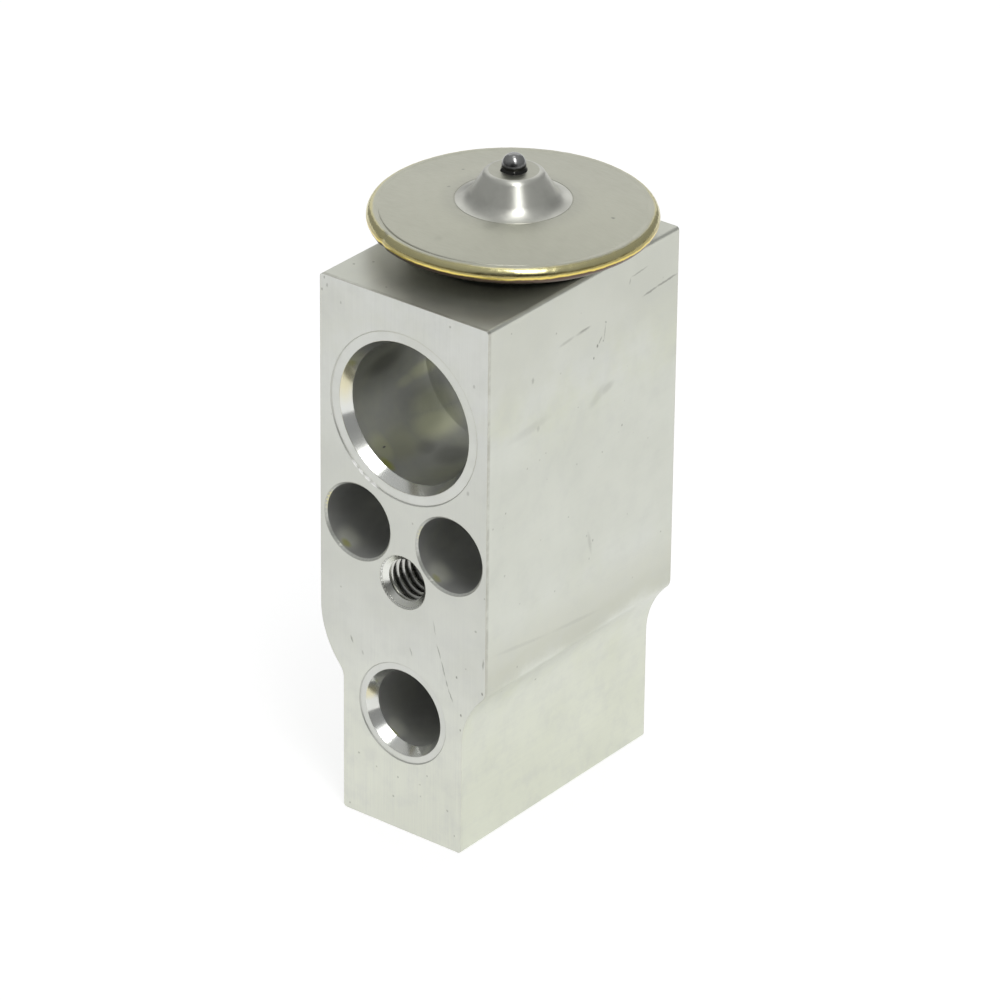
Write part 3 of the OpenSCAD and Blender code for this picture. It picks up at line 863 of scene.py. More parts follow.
    def finishes(self) -> list[CutMetal]:
        """Return one finish for each region, in the regions' order."""
        low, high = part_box(self.node)
        face_y = low.y / MM
        side = [m for s in self.side_scratches() for m in s.marks(Plane.SIDE, high.x / MM)]
        front = [m for s in self.front_scratches() for m in s.marks(Plane.FRONT, face_y)]
        # Painted highlight: a white line along the lower left of the suction port's ring edge, laid
        # on the milled face, the ring and the ring's edge.
        glint = ScratchAndGlintLine(((-7.1, 43.85), (-6.3, 43.12), (-5.4, 42.50), (-4.5, 42.02), (-3.5, 41.62)),
                        0.20, 1.0).marks(Plane.FRONT, face_y)
        bright = (WearAndPaintedLight(tuple(glint), (1.0, 1.0, 0.97), 0.0),)
        # Painted light: pale patches just inside the mouths of the bolt holes and the small port, at
        # their lower left.
        painted_mouth_light = painted_light_spots((0.93, 0.94, 0.84), (-8.9, -15.7, 33.0, 2.0, 2.2, 1.7, 0.8, 0.9),
                       (3.8, -15.7, 33.0, 2.0, 2.2, 1.7, 0.8, 0.9),
                       (-2.6, -15.2, 11.1, 1.8, 1.8, 1.4, 0.5, 0.8))
        # Painted reflection: yellow rims at the lower left of the mouths of the bolt holes and the
        # small port.
        painted_yellow_rims = painted_light_spots((0.66, 0.66, 0.16), (-8.6, -16.5, 32.8, 0.9, 0.7, 0.7, 0.6, 0.7),
                       (4.1, -16.6, 32.8, 0.8, 0.6, 0.6, 0.6, 0.5),
                       (-2.3, -16.1, 10.9, 1.1, 0.6, 0.7, 0.5, 0.7))
        # Painted highlight: white spots on the bolt holes' chamfers, at their lower left.
        painted_sparkles = painted_light_spots((1.0, 1.0, 0.9), (-8.8, -17.1, 32.9, 0.6, 0.6, 0.5, 0.6, 1.0),
                       (3.9, -17.1, 32.9, 0.6, 0.6, 0.5, 0.6, 1.0))
        # Painted reflection: the straw spots are yellow glints on the bolt holes' chamfers, at their
        # upper left.
        straw = painted_light_spots((0.90, 0.84, 0.46), (-10.5, -17.2, 38.2, 0.8, 0.8, 2.4, 0, 0.85),
                      (2.2, -17.2, 38.2, 0.8, 0.8, 2.0, 0, 0.4))
        # Painted reflection: pale yellow on the left of the suction cone and of the small port's
        # cone.
        painted_gold_reflections = painted_light_spots((0.84, 0.77, 0.48), (-8.1, -16.9, 53.0, 1.9, 1.6, 3.9, 0, 0.75),
                       (-4.8, -16.9, 15.6, 1.2, 1.4, 1.3, 0, 0.75))
        shadow = painted_light_spots((0.46, 0.46, 0.44), (3.4, -16.9, 43.0, 3.8, 1.8, 2.2, 0, 0.50))
        # Painted reflection: pale patches on the suction bore's wall; the first four also get a lower
        # roughness.
        painted_bore_glints = painted_light_spots((0.97, 0.98, 0.74), (-8.0, -3.9, 49.5, 1.6, 3.6, 1.2, 0, 0.9),
                       (-7.9, -7.0, 49.2, 1.4, 2.2, 0.9, 0, 0.45),
                       (-4.7, -5.6, 44.6, 2.8, 5.4, 2.2, 0.8, 1.0),
                       (-6.2, -4.4, 46.0, 2.4, 4.6, 2.0, 0.9, 0.70),
                       (-5.0, -14.6, 44.9, 2.6, 2.6, 2.0, 0.7, 1.0),
                       (-4.6, -12.2, 44.5, 3.0, 4.6, 2.2, 0.7, 0.6))
        shades = painted_light_spots((0.26, 0.26, 0.25), (-0.6, -8.2, 42.9, 2.6, 3.4, 1.2, 0, 0.55),
                       (-3.0, -9.4, 43.4, 1.5, 2.0, 0.9, 0.5, 0.35),
                       (-7.9, -10.6, 52.9, 1.5, 4.6, 1.9, 0, 0.60),
                       (-5.18, -14.23, 44.76, 0.16, 0.36, 0.16, 0, 0.9))
        # Painted reflection: a yellow fringe at the inner edge of the suction cone's glint.
        painted_yellow_fringe = painted_light_spots((0.66, 0.68, 0.12), (-3.6, -15.6, 43.7, 1.5, 0.8, 0.9, 0.5, 0.75))
        return [
            CutMetal("milled_aluminium", (0.685, 0.695, 0.655), (0.68, 0.69, 0.61),
                     (4200, 4200, 100), (0.42, 0.48), 2.0 * UM, line_share=0.24,
                     wear_and_painted_light=(WearAndPaintedLight(tuple(front)), *bright), specks=0.10, bloom=(0.69, 0.70, 0.675),
                     edge=self.front_break,
                     # Painted light and shade by height: lighter low down, darker across the middle.
                     painted_light_bands=(Band(-10, 17, 12, (0.725, 0.74, 0.65)),
                            Band(24, 48, 7, (0.645, 0.655, 0.60)))),
            CutMetal("extruded_aluminium", (0.72, 0.735, 0.675), (0.725, 0.745, 0.61),
                     (2200, 45, 2200), (0.43, 0.50), 1.6 * UM, stain_share=0.8, line_share=0.12,
                     wear_and_painted_light=(WearAndPaintedLight(tuple(side)),), specks=0.12, bloom=(0.71, 0.725, 0.695),
                     edge=self.edge_break,
                     front_edge_strip=Band(face_y - 1, face_y + 0.42, 0.14, (0.52, 0.52, 0.46)),
                     # Painted light and shade by height: lighter low down, darker across the middle,
                     # on the shoulder and up high, and lighter again on the top face.
                     painted_light_bands=(Band(-10, 16, 10, (0.745, 0.765, 0.655)),
                            Band(28, 50, 6, (0.69, 0.705, 0.635)),
                            Band(21.2, 26.5, 2.4, (0.66, 0.67, 0.59)),
                            Band(21.0, 23.6, 0.9, (0.625, 0.635, 0.55)),
                            Band(55, 80, 6, (0.655, 0.665, 0.595)),
                            Band(64.75, 80, 0.15, (0.68, 0.69, 0.615)))),
            CutMetal("bored_aluminium", (0.55, 0.555, 0.54), (0.66, 0.67, 0.59),
                     (60, 7000, 60), (0.38, 0.44), 0.05 * UM, line_share=0.03,
                     wear_and_painted_light=(painted_mouth_light, painted_yellow_rims), metal=0.55),
            CutMetal("cone_aluminium", (0.80, 0.81, 0.775), (0.78, 0.78, 0.69),
                     (60, 9000, 60), (0.11, 0.14), 0.05 * UM, line_share=0.04,
                     wear_and_painted_light=(painted_gold_reflections, shadow), metal=0.80, edge=self.edge_break),
            CutMetal("ring_aluminium", (0.685, 0.695, 0.655), (0.68, 0.69, 0.61),
                     (600, 600, 600), (0.42, 0.48), 0.6 * UM, wear_and_painted_light=bright, edge=self.edge_break),
            CutMetal("ring_edge_aluminium", (0.66, 0.67, 0.62), (0.60, 0.61, 0.53),
                     (600, 600, 600), (0.36, 0.42), 0.2 * UM, wear_and_painted_light=bright, metal=0.6),
            CutMetal("suction_aluminium", (0.63, 0.635, 0.615), (0.76, 0.77, 0.67),
                     (60, 7000, 60), (0.34, 0.40), 0.02 * UM, stain_share=0.6, line_share=0.03,
                     wear_and_painted_light=(painted_bore_glints, shades, painted_yellow_fringe), metal=0.9, polished=painted_bore_glints.marks[:4]),
            CutMetal("chamfer_aluminium", (0.70, 0.71, 0.66), (0.66, 0.66, 0.58),
                     (300, 300, 300), (0.30, 0.36), 0.1 * UM, line_share=0.05,
                     wear_and_painted_light=(painted_sparkles, straw), metal=0.6),
        ]

    def dress(self) -> None:
        """Give each surface of the block its own finish."""
        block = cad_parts[self.node]
        low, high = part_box(self.node)
        coat(block, *(finish.build() for finish in self.finishes()))
        for face in block.data.polygons:
            face.material_index = self.region(face, low, high).value

    def build_thread(self) -> Piece:
        """Return the thread ridge of the stud hole as one helical solid."""
        low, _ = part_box(self.node)
        rings = self.stud_steps * int(self.stud_depth / self.stud_pitch)
        root = self.stud_radius + self.bite
        section = [(share, self.stud_core if crest else root) for share, crest in self.thread_form]
        points: list[Point] = []
        for i in range(rings + 1):
            angle = 2 * math.pi * i / self.stud_steps
            for share, radius in section:
                depth = self.stud_start + (i / self.stud_steps + share) * self.stud_pitch
                r = min(root, max(radius, self.stud_mouth - depth))
                points.append((r * math.cos(angle), low.y + depth,
                               self.stud_z - r * math.sin(angle)))
        ridge = mesh_object("stud_thread", points, tube_faces(rings, len(section)))
        coat(ridge, CutMetal("thread_aluminium", (0.62, 0.62, 0.58), (0.42, 0.42, 0.38),
                             (900, 900, 900), (0.20, 0.30), 1.0 * UM).build())
        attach(ridge, self.body)
        return ridge

    def build_sink(self) -> Piece:
        """Return the countersink's lower part, which cuts off the first thread turn."""
        low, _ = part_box(self.node)
        start = self.stud_mouth - self.stud_radius
        outline = [(self.stud_radius + self.bite, start - self.bite),
                   (self.stud_mouth - self.sink_depth, self.sink_depth),
                   (self.stud_core + self.sink_wall, self.sink_low),
                   (self.stud_radius + self.bite, self.sink_low)]
        sink = lathe("stud_sink", outline, 0.0, self.sink_segments)
        upright = Matrix.Rotation(-math.pi / 2, 4, "X")
        sink.data.transform(Matrix.Translation((0, low.y, self.stud_z)) @ upright)
        coat(sink, CutMetal("sink_aluminium", (0.80, 0.81, 0.76), (0.78, 0.78, 0.66),
                            (900, 900, 900), (0.22, 0.30), 0.2 * UM, line_share=0.05).build())
        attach(sink, self.body)
        return sink


@dataclass
class DiaphragmHead:
    """The welded head: cover, bead, charging ball, lower sheet, diaphragm and seal.

    A swell of the bead is its place and width, in degrees, and its height. That height, the
    points of the crease and the fields that end in _mm are in millimetres.
    """

    body: str = "block"
    sheet_t: float = 0.88 * MM
    cover_rise: float = 0.95 * MM
    cap_foot_r: float = 6.35 * MM
    cap_slope: float = 58.0
    cap_shoulder_r: float = 1.0 * MM
    cap_fillet_r: float = 2.3 * MM
    clamp_w: float = 1.1 * MM
    crank_h: float = 0.1 * MM
    lip_r: float = 0.25 * MM
    rim_r: float = 1.0 * MM
    plug_r: float = 1.34 * MM
    hole_r: float = 1.2 * MM
    seat_depth: float = 0.7 * MM
    collar_w: float = 0.14 * MM
    collar_h: float = 0.3 * MM
    plateau_r: float = 2.75 * MM
    bead_power: float = 2.05
    lap: float = 0.22 * MM
    groove_at: float = 268.0
    groove_wide: float = 42.0
    groove_deep: float = 0.17 * MM
    thinner_mm: float = 0.035
    slow_ripple_mm: float = 0.03
    slow_waves: float = 3.0
    quick_ripple_mm: float = 0.018
    quick_waves: float = 26.0
    notch_mm: float = 0.14
    notch_at: float = 245.0
    notch_wide_rad: float = 0.035
    swells: tuple[Point, ...] = (
        (173.0, 48.0, 0.11), (95.0, 45.0, 0.06), (0.0, 40.0, -0.05))
    lap_ripple: float = 0.02 * MM
    tongue_sink: float = 0.01 * MM
    bead_steps: int = 36
    bead_sharp: float = 60.0
    collar_ripple: float = 0.16 * MM
    collar_waves: float = 2.2
    collar_bend: Pair = (0.7, 0.4)
    crease: tuple[Pair, ...] = ((0.03, 0.035), (0.09, 0.040), (0.15, 0.005))
    bend_steps: int = 14
    lip_steps: int = 8
    ball_steps: int = 22
    segments: int = 288
    plug_segments: int = 96
    leaf_segments: int = 144
    leaf_t: float = 0.2 * MM
    leaf_flat: float = 0.3 * MM
    leaf_land: float = 0.5 * MM
    waves: int = 2
    wave_steps: int = 24
    wave_h: float = 0.5 * MM
    stopper_r: float = 9.0 * MM
    lift: float = 0.7 * MM

    def __post_init__(self) -> None:
        """Read the head's place from the frame."""
        low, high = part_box("head_cover")
        self.axis_y = (low.y + high.y) / 2
        self.sheet_r = (high.x - low.x) / 2
        self.seam_high = low.z
        self.cap_top = high.z
        self.edge_z = self.seam_high + self.sheet_t
        self.foot_z = self.edge_z + self.cover_rise
        rim_low, rim_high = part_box("rim_weld")
        self.rim_outer = (rim_high.x - rim_low.x) / 2
        self.seam_z = (rim_low.z + rim_high.z) / 2
        self.fall = math.degrees(math.atan(self.cover_rise / (self.sheet_r - self.cap_foot_r)))

    def cover_line(self) -> Outline:
        """Return the cover's upper line, from the charging hole to the foot of the cap."""
        slope, tip = math.radians(self.cap_slope), math.radians(self.fall)
        cap_h = self.cap_top - self.foot_z
        side_h = (cap_h - self.cap_shoulder_r * (1 - math.cos(slope))
                  - self.cap_fillet_r * (math.cos(tip) - math.cos(slope)))
        fillet_run = self.cap_fillet_r * (math.sin(slope) - math.sin(tip))
        shoulder = (self.cap_foot_r - fillet_run - side_h / math.tan(slope)
                    - self.cap_shoulder_r * math.sin(slope), self.cap_top - self.cap_shoulder_r)
        fillet = (self.cap_foot_r + self.cap_fillet_r * math.sin(tip),
                  self.foot_z + self.cap_fillet_r * math.cos(tip))
        return [(self.hole_r, self.cap_top),
                *arc(shoulder, self.cap_shoulder_r, 90, 90 - self.cap_slope, self.bend_steps),
                *arc(fillet, self.cap_fillet_r, 270 - self.cap_slope, 270 - self.fall,
                     self.bend_steps)]

    def blot(self, x: float, y: float, size: float, strength: float = 0.7) -> Mark:
        """Return a speck or smudge on the cover's slope, at a place in millimetres."""
        height = (self.foot_z + self.edge_z) / 2 / MM
        return Mark((x, y, height), (size, size, 1.0), strength=strength)

    def build_cover(self) -> Piece:
        """Return the cover as a finely turned sheet that stands for its solid."""
        line = self.cover_line()
        under = []
        for i, (r, z) in enumerate(line):
            (r0, z0), (r1, z1) = line[max(i - 1, 0)], line[min(i + 1, len(line) - 1)]
            length = math.hypot(r1 - r0, z1 - z0)
            under.append((r + self.sheet_t * (z1 - z0) / length,
                          z - self.sheet_t * (r1 - r0) / length))
        crease = [(self.cap_foot_r + out * MM, self.foot_z - down * MM)
                  for out, down in self.crease]
        lip = arc((self.sheet_r - self.lip_r, self.edge_z - self.lip_r), self.lip_r,
                  90 - self.fall, 0, self.lip_steps)
        clamp_r = self.sheet_r - self.clamp_w
        outline = [*line, *crease, *lip, (self.sheet_r, self.seam_high),
                   (clamp_r, self.seam_high),
                   (clamp_r - self.sheet_t / 2, self.edge_z - self.sheet_t + self.crank_h),
                   *reversed(under[1:]), (self.hole_r, self.cap_top - self.sheet_t)]
        cover = lathe("cover_sheet", outline, self.axis_y, self.segments)
        specks = ((10.55, 5.3, 0.30), (10.2, 12.5, 0.26), (-7.5, -0.3, 0.30), (-9.4, 4.6, 0.22))
        smears = ((-0.9, -10.4, 0.75, 0.16), (2.2, -5.4, 1.3, 0.34), (4.9, -4.2, 1.3, 0.25),
                  (9.6, -2.6, 1.0, 0.08))
        # Painted shade: darker patches on the left and right sides of the cap.
        painted_cap_shade = painted_light_spots((0.28, 0.28, 0.25), (-5.6, 0.2, 71.0, 1.8, 3.4, 2.0, 0, 0.75),
                       (-4.2, 0.6, 71.8, 4.2, 5.0, 4.0, 0, 0.62),
                       (5.6, 2.8, 71.0, 1.5, 3.2, 1.6, 0, 0.40))
        sheet = PressedSteel("cover_steel", (0.55, 0.55, 0.46), (0.48, 0.48, 0.41), self.axis_y,
                             (6.9 * MM, 9.6 * MM), (0.34, 0.46),
                             (WearAndPaintedLight(tuple(self.blot(*row) for row in specks), cut=1.0),
                              WearAndPaintedLight(tuple(self.blot(*row) for row in smears),
                                   (0.34, 0.34, 0.28), 0.0)))
        cap = SpunSteel("cap_steel", (0.66, 0.66, 0.60), (0.56, 0.56, 0.51), self.axis_y,
                        (0.33, 0.38), wear_and_painted_light=(painted_cap_shade,))
        coat(cover, sheet.build(), cap.build())
        for face in cover.data.polygons:
            reach = math.hypot(face.center.x, face.center.y - self.axis_y)
            face.material_index = int(self.plateau_r < reach < self.cap_foot_r)
        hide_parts("head_cover")
        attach(cover, self.body)
        return cover

    def bead_shift(self, angle: float, radius: float, height: float) -> Pair:
        """Return where a point of the bead lies after the weld's ripple and its overlap.

        Args:
            angle: Angle round the head.
            radius: Radius of the point on an even bead.
            height: Height of the point on an even bead.

        Returns:
            The point's new radius and height.
        """
        middle, degrees = self.rim_outer - self.rim_r, math.degrees(angle)
        lift = math.hypot(radius - middle, height - self.seam_z)
        outward = smooth_step(0.0, self.rim_r, radius - self.sheet_r) * lift / self.rim_r
        slow = ripple(angle, self.slow_waves, 0.3)
        quick = ripple(angle, self.quick_waves, height / MM * 0.8)
        notch = math.exp(-(((angle - math.radians(self.notch_at)) / self.notch_wide_rad) ** 2))
        swell = sum(tall * hump(degrees, place, width) for place, width, tall in self.swells)
        shrink = (self.thinner_mm + self.slow_ripple_mm * slow + self.quick_ripple_mm * quick
                  + self.notch_mm * notch - swell) * MM * outward
        scale = 1 - shrink / self.rim_r
        inside = (smooth_step(-self.lap, 0.0, radius - self.sheet_r)
                  * (1 - smooth_step(0.0, self.lap, radius - self.sheet_r)))
        sink = inside * (self.groove_deep * hump(degrees, self.groove_at, self.groove_wide)
                         + self.lap_ripple * (1 + quick))
        level = self.seam_z + (height - self.seam_z) * scale
        return middle + (radius - middle) * scale, level - sink * (height > self.seam_z)

    def fullness(self, u: float, v: float) -> float:
        """Return how far a direction is from the bead's crests, as a squarer circle has it."""
        return (abs(u) ** self.bead_power + abs(v) ** self.bead_power) ** (1 / self.bead_power)

    def build_bead(self) -> Piece:
        """Return the weld bead, slightly uneven, that stands for its solid."""
        middle = self.rim_outer - self.rim_r
        cut = math.degrees(math.acos((self.sheet_r - middle) / self.rim_r))
        round_line = arc((0, 0), 1.0, -cut, cut, self.bead_steps)
        outline = [(middle + u * self.rim_r / self.fullness(u, v),
                    self.seam_z + v * self.rim_r / self.fullness(u, v)) for u, v in round_line]
        top = outline[-1][1]
        tongue = self.edge_z - self.tongue_sink
        outline += [(self.sheet_r - self.lap * f, top + (tongue - top) * f)
                    for f in (0.25, 0.5, 0.75, 1.0)]
        outline += [(self.sheet_r - self.lap, top - self.lap), (self.sheet_r, top - self.lap)]
        bead = lathe("weld_bead", outline, self.axis_y, 2 * self.segments, self.bead_shift,
                     self.bead_sharp)
        coat(bead, HeatTint("weld_tint", (0.55, 0.55, 0.46), (0.64, 0.59, 0.32), (0.40, 0.34, 0.14),
                            (0.80, 0.64, 0.18), (0.13, 0.09, 0.07), self.seam_z, self.rim_r,
                            self.axis_y, self.rim_outer).build())
        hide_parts("rim_weld")
        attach(bead, self.body)
        return bead

    def collar_shift(self, angle: float, radius: float, height: float) -> Pair:
        """Return where a point of the ball lies, with an uneven collar.

        Args:
            angle: Angle round the head.
            radius: Radius of the point on an even collar.
            height: Height of the point on an even collar.

        Returns:
            The point's new radius and height.
        """
        outward = smooth_step(self.hole_r, self.plug_r + self.collar_w, radius)
        on_collar = outward * (1 - smooth_step(self.collar_h, 2 * self.collar_h,
                                               height - self.cap_top))
        return radius + on_collar * ripple(angle, self.collar_waves, 4.0) * self.collar_ripple, height

    def build_plug(self) -> Piece:
        """Return the charging ball with the collar of its weld, which stands for its solid."""
        middle = self.cap_top + math.sqrt(self.plug_r ** 2 - self.hole_r ** 2)
        foot = math.degrees(math.asin((self.cap_top + self.collar_h - middle) / self.plug_r))
        ball = arc((0, middle), self.plug_r, foot, 90, self.ball_steps)
        ball[-1] = (0, middle + self.plug_r)
        low = self.cap_top - self.seat_depth
        outline = [(0, low), (self.hole_r, low), (self.hole_r, self.cap_top),
                   (self.plug_r + self.collar_w, self.cap_top),
                   (self.plug_r + self.collar_w * self.collar_bend[0],
                    self.cap_top + self.collar_h * self.collar_bend[1]), *ball]
        plug = lathe("charge_ball", outline, self.axis_y, self.plug_segments, self.collar_shift)
        coat(plug, WeldedBall("plug_steel", (0.34, 0.34, 0.335), (0.045, 0.045, 0.043),
                              middle, self.plug_r).build())
        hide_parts("charge_plug")
        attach(plug, self.body)
        return plug

    def build_leaf(self) -> Piece:
        """Return the corrugated diaphragm, which sags from its clamped rim to its middle."""
        low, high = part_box("diaphragm")
        clamped = high.z - self.leaf_t
        flat_r, wave_r = self.stopper_r + self.leaf_flat, self.sheet_r - self.clamp_w - self.leaf_land
        drop = clamped - low.z
        steps = self.wave_steps * self.waves
        under = [(0.0, low.z)]
        for i in range(steps + 1):
            f = i / steps
            wave = self.wave_h / 2 * math.sin(2 * math.pi * self.waves * f) * math.sin(math.pi * f)
            under.append((flat_r + (wave_r - flat_r) * f,
                          low.z + drop * (1 - math.cos(math.pi * f)) / 2 - wave))
        under.append((self.sheet_r - self.clamp_w / 2, clamped))
        outline = [*under, *((r, z + self.leaf_t) for r, z in reversed(under))]
        leaf = lathe("diaphragm_leaf", outline, self.axis_y, self.leaf_segments)
        coat(leaf, CutMetal("diaphragm_steel", (0.62, 0.62, 0.60), (0.56, 0.56, 0.54),
                            (3000, 3000, 3000), (0.16, 0.24), 1.0 * UM).build())
        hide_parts("diaphragm")
        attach(leaf, self.body)
        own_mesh(leaf)
        return leaf

    def dress(self) -> None:
        """Give the lower sheet and the seal their finishes."""
        base = CutMetal("base_steel", (0.42, 0.41, 0.38), (0.34, 0.33, 0.30),
                        (700, 700, 4200), (0.30, 0.42), 3.0 * UM)
        coat(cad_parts["head_base"], base.build())
        coat(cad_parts["head_seal"], Rubber("head_rubber").build())


@dataclass
class ValveTrain:
    """The pieces that slide along the valve axis, with the spring that carries them."""

    top_body: str = "stem"
    middle_body: str = "block"
    low_body: str = "adjuster_carriage"
    wire: float = 0.9 * MM
    turns: float = 3.5
    closed_turns: float = 0.75
    closed_pitch: float = 0.918 * MM
    wire_sides: int = 20
    turn_steps: int = 64

    def coil_level(self, turn: float) -> float:
        """Return the height of the spring's wire, which is wound closer at both ends.

        Args:
            turn: Turns from its low end.

        Returns:
            The height of the wire's middle, in metres.
        """
        low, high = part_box("valve_spring")
        start, stop = low.z + self.wire / 2, high.z - self.wire / 2
        rise = self.closed_pitch * self.closed_turns
        if turn < self.closed_turns:
            return start + self.closed_pitch * turn
        if turn > self.turns - self.closed_turns:
            return stop - self.closed_pitch * (self.turns - turn)
        share = (turn - self.closed_turns) / (self.turns - 2 * self.closed_turns)
        return start + rise + (stop - start - 2 * rise) * share

    def build_coil(self, name: str, first: float, last: float, material: Material) -> Piece:
        """Return one length of the spring's wire.

        Args:
            name: Name of the piece.
            first: Turn at which it starts.
            last: Turn at which it ends.
            material: Finish of the wire.

        Returns:
            The wire as a closed solid.
        """
        low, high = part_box("valve_spring")
        axis_y, half = (low.y + high.y) / 2, self.wire / 2
        coil_r = (high.x - low.x) / 2 - half
        rings = round((last - first) * self.turn_steps)
        sides = self.wire_sides
        points: list[Point] = []
        for i in range(rings + 1):
            turn = first + (last - first) * i / rings
            a, level = 2 * math.pi * turn, self.coil_level(turn)
            for k in range(sides):
                b = 2 * math.pi * k / sides
                r = coil_r + half * math.cos(b)
                points.append((r * math.cos(a), axis_y + r * math.sin(a), level + half * math.sin(b)))
        coil = mesh_object(name, points, tube_faces(rings, sides))
        coat(coil, material)
        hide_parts("valve_spring")
        return coil

    def build_spring(self, material: Material) -> None:
        """Make the spring as two lengths of wire, its lower half and its upper half.

        Args:
            material: Finish of the wire.
        """
        lower = self.build_coil("spring_lower", 0.0, self.turns / 2, material)
        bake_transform(lower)
        upper = self.build_coil("spring_upper", self.turns / 2, self.turns, material)
        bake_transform(upper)

    def dress(self) -> None:
        """Give each piece of the train its finish."""
        steel = CutMetal("train_steel", (0.50, 0.50, 0.49), (0.44, 0.44, 0.43),
                         (2200, 2200, 2200), (0.16, 0.26), 1.0 * UM)
        spring = CutMetal("spring_steel", (0.46, 0.46, 0.43), (0.38, 0.37, 0.33),
                          (1600, 1600, 1600), (0.22, 0.34), 2.0 * UM)
        rod = CutMetal("rod_aluminium", (0.68, 0.69, 0.67), (0.62, 0.62, 0.60),
                       (200, 200, 6000), (0.24, 0.34), 3.0 * UM)
        steel_made, spring_made = steel.build(), spring.build()
        for node in ("stopper_disc", "push_rod", "valve_ball", "ball_carrier"):
            coat(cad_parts[node], steel_made)
        for node in ("seal_retainer", "damper_spring"):
            coat(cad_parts[node], spring_made)
        self.build_spring(spring_made)
        coat(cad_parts["sensing_rod"], rod.build())
        coat(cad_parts["rod_seal"], Rubber("rod_rubber").build())


@dataclass
class Adjuster:
    """The screw in the base and its ring seal."""

    def dress(self) -> None:
        """Give the screw and its seal their finishes."""
        brass = CutMetal("screw_brass", (0.70, 0.56, 0.28), (0.60, 0.46, 0.22),
                         (400, 400, 5200), (0.20, 0.32), 3.0 * UM)
        coat(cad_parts["adjusting_screw"], brass.build())
        coat(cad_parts["screw_seal"], Rubber("screw_rubber").build())


def bearing(azimuth: float, elevation: float) -> Vector:
    """Return the direction from the object to a place round it, from angles in degrees."""
    a, e = math.radians(azimuth), math.radians(elevation)
    return Vector((math.sin(a) * math.cos(e), -math.cos(a) * math.cos(e), math.sin(e)))


@dataclass(frozen=True)
class SoftBox:
    """One soft lamp that faces the object."""

    name: str
    azimuth: float
    elevation: float
    distance: float
    size: Pair
    glow: float

    def build(self, target: Vector) -> Piece:
        """Return the lamp, aimed at a point.

        Args:
            target: Point that the lamp faces.

        Returns:
            The lamp's object.
        """
        data = bpy.data.lights.new(self.name, "AREA")
        data.shape = "RECTANGLE"
        data.size, data.size_y = self.size
        data.energy = self.glow * math.pi * self.size[0] * self.size[1]
        lamp = bpy.data.objects.new(self.name, data)
        back = bearing(self.azimuth, self.elevation)
        lamp.location = target + back * self.distance
        lamp.rotation_mode = "QUATERNION"
        lamp.rotation_quaternion = (-back).to_track_quat("-Z", "Y")
        bpy.context.scene.collection.objects.link(lamp)
        return lamp


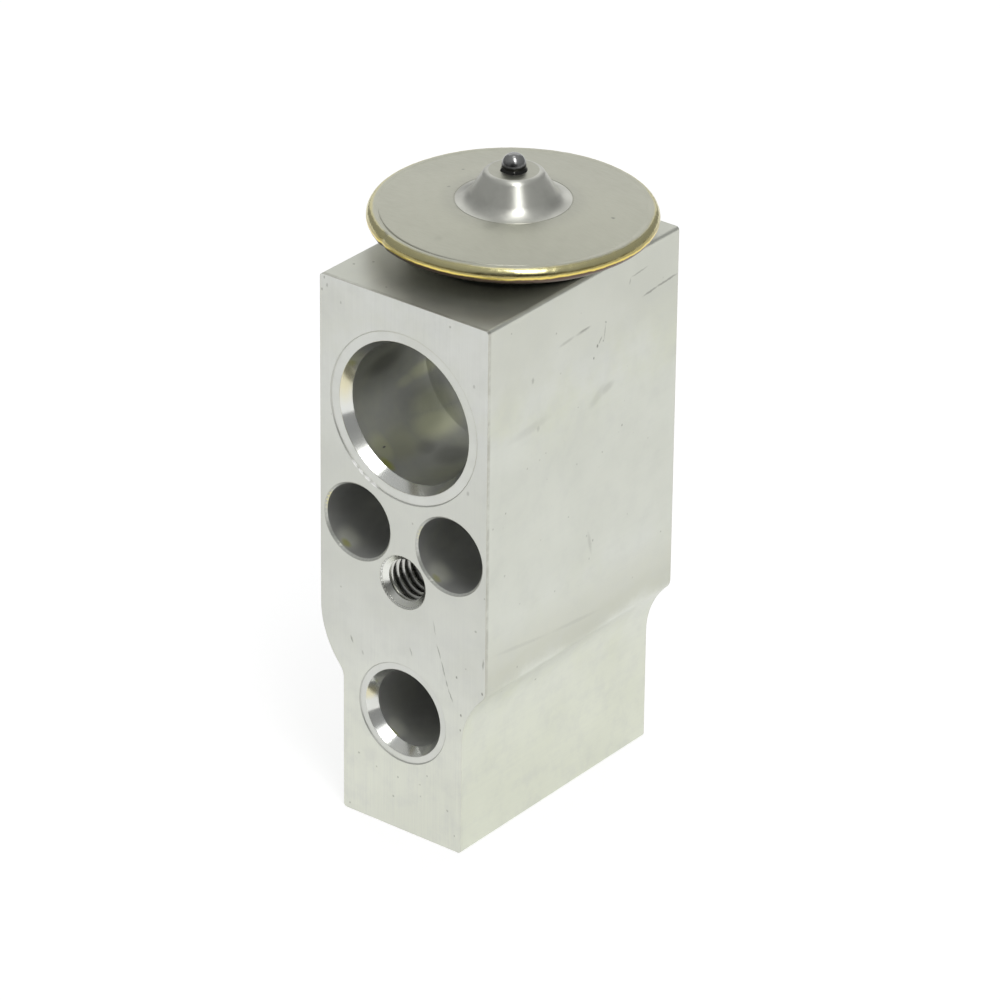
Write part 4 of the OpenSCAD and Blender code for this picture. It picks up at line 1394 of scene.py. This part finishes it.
@dataclass
class Studio:
    """Camera, lamps, world and floor."""

    camera_place: Point = (0.372974, -0.480722, 0.355336)
    azimuth: float = 37.825
    elevation: float = 27.827
    roll: float = 0.635
    lens: float = 224.76
    sensor: float = 36.0
    clip: Pair = (0.05, 10.0)
    floor_half: float = 0.9
    floor_tone: float = 0.50
    floor_glow: float = 0.70
    target: Point = (0, 0, 0.04)
    sky: tuple[Pair, ...] = (
        (-0.15, 0.60), (0.02, 0.34), (0.30, 0.34), (0.60, 0.38), (0.98, 0.50))
    dark_side: Point = (0.61, -0.78, 0.1)
    dark_reach: Pair = (0.72, 0.96)
    dark_light: float = 0.3
    room_tint: tuple[float, ...] = (0.98, 0.99, 1.0, 1.0)

    def build_camera(self) -> Piece:
        """Return the camera, at the photograph's place and angle."""
        back = bearing(self.azimuth, self.elevation)
        right = Vector((0, 0, 1)).cross(back).normalized()
        up = back.cross(right)
        c, s = math.cos(math.radians(self.roll)), math.sin(math.radians(self.roll))
        right, up = c * right + s * up, c * up - s * right
        data = bpy.data.cameras.new("camera")
        data.lens, data.sensor_width = self.lens, self.sensor
        data.clip_start, data.clip_end = self.clip
        camera = bpy.data.objects.new("camera", data)
        turn = Matrix((right, up, back)).transposed().to_4x4()
        camera.matrix_world = Matrix.Translation(self.camera_place) @ turn
        bpy.context.scene.collection.objects.link(camera)
        bpy.context.scene.camera = camera
        return camera

    def build_world(self) -> None:
        """Make a soft white room, brighter overhead, that shows white to the camera."""
        world = bpy.data.worlds.new("room")
        bpy.context.scene.world = world
        world.use_nodes = True
        room = Nodes(world.node_tree)
        ground, rise = room.tree.nodes["Background"], room.tree.nodes.new("ShaderNodeValToRGB")
        place = room.node("TexCoord", {})["Generated"]
        height = room.node("SeparateXYZ", {0: place})["Z"]
        room.put(rise.inputs["Fac"], room.math("MULTIPLY_ADD", height, 0.5, 0.5))
        rise.color_ramp.interpolation = "EASE"
        stops = rise.color_ramp.elements
        while len(stops) < len(self.sky):
            stops.new(0.5)
        for stop, (level, light) in zip(stops, self.sky):
            stop.position = level / 2 + 0.5
            stop.color = (light, light, light, 1)
        toward = room.vector("DOT_PRODUCT", place, self.dark_side)["Value"]
        dim = room.spread(toward, self.dark_reach, (1.0, self.dark_light))
        room.put(ground.inputs["Strength"], room.math("MULTIPLY", rise.outputs["Color"], dim))
        room.put(ground.inputs["Color"], self.room_tint)
        seen = room.node("LightPath", {})["Is Camera Ray"]
        white = room.node("Background", {})["Background"]
        mixed = room.node("MixShader", {"Fac": seen, 1: ground.outputs["Background"], 2: white})
        room.put(room.tree.nodes["World Output"].inputs["Surface"], mixed["Shader"])

    def build_floor(self) -> Piece:
        """Return the pale floor, which keeps the object's shadow."""
        h = self.floor_half
        floor = mesh_object("floor", [(-h, -h, 0), (h, -h, 0), (h, h, 0), (-h, h, 0)],
                            [(0, 1, 2, 3)])
        graph = Graph("floor_paint")
        tone = (self.floor_tone,) * 3
        cloud = graph.noise(graph.place, 3.0, 2.0)
        rays = graph.node("LightPath", {})
        seen = graph.math("MAXIMUM", rays["Is Camera Ray"], rays["Is Glossy Ray"])
        seen = graph.math("MAXIMUM", seen, rays["Is Transmission Ray"])
        floor.data.materials.append(graph.set_surface({
            "Base Color": graph.mix(graph.math("MULTIPLY", cloud, 0.1), tone, toned(tone, 0.98)),
            "Roughness": 1.0, "Specular IOR Level": 0.0, "Emission Color": (1, 1, 1, 1),
            "Emission Strength": graph.math("MULTIPLY", seen, self.floor_glow)}))
        return floor

    def build(self) -> None:
        """Set up the camera, the room and the lamps."""
        self.build_camera()
        self.build_world()
        self.build_floor()
        for lamp in (
            SoftBox("key_box", 58.0, 66.0, 0.9, (0.26, 0.72), 0.8),
            SoftBox("key_core", 56.0, 64.0, 0.88, (0.24, 0.50), 4.2),
            SoftBox("key_low", 56.0, 40.0, 0.88, (0.22, 0.26), 1.3),
            SoftBox("back_panel", 218.0, 28.0, 1.2, (1.20, 1.10), 0.55),
            SoftBox("top_box", 218.0, 80.0, 0.9, (0.26, 0.26), 1.2),
        ):
            lamp.build(Vector(self.target))
        bpy.context.scene.view_settings.view_transform = "Standard"


def main() -> None:
    """Build the stage and each sub-assembly in order."""
    logging.basicConfig(level=logging.INFO, format="%(name)s %(message)s")
    Studio().build()
    block = ValveBlock()
    block.dress()
    block.build_thread()
    block.build_sink()
    head = DiaphragmHead()
    head.build_cover()
    head.build_bead()
    head.build_plug()
    head.build_leaf()
    head.dress()
    ValveTrain().dress()
    Adjuster().dress()


if __name__ == "__main__":
    main()
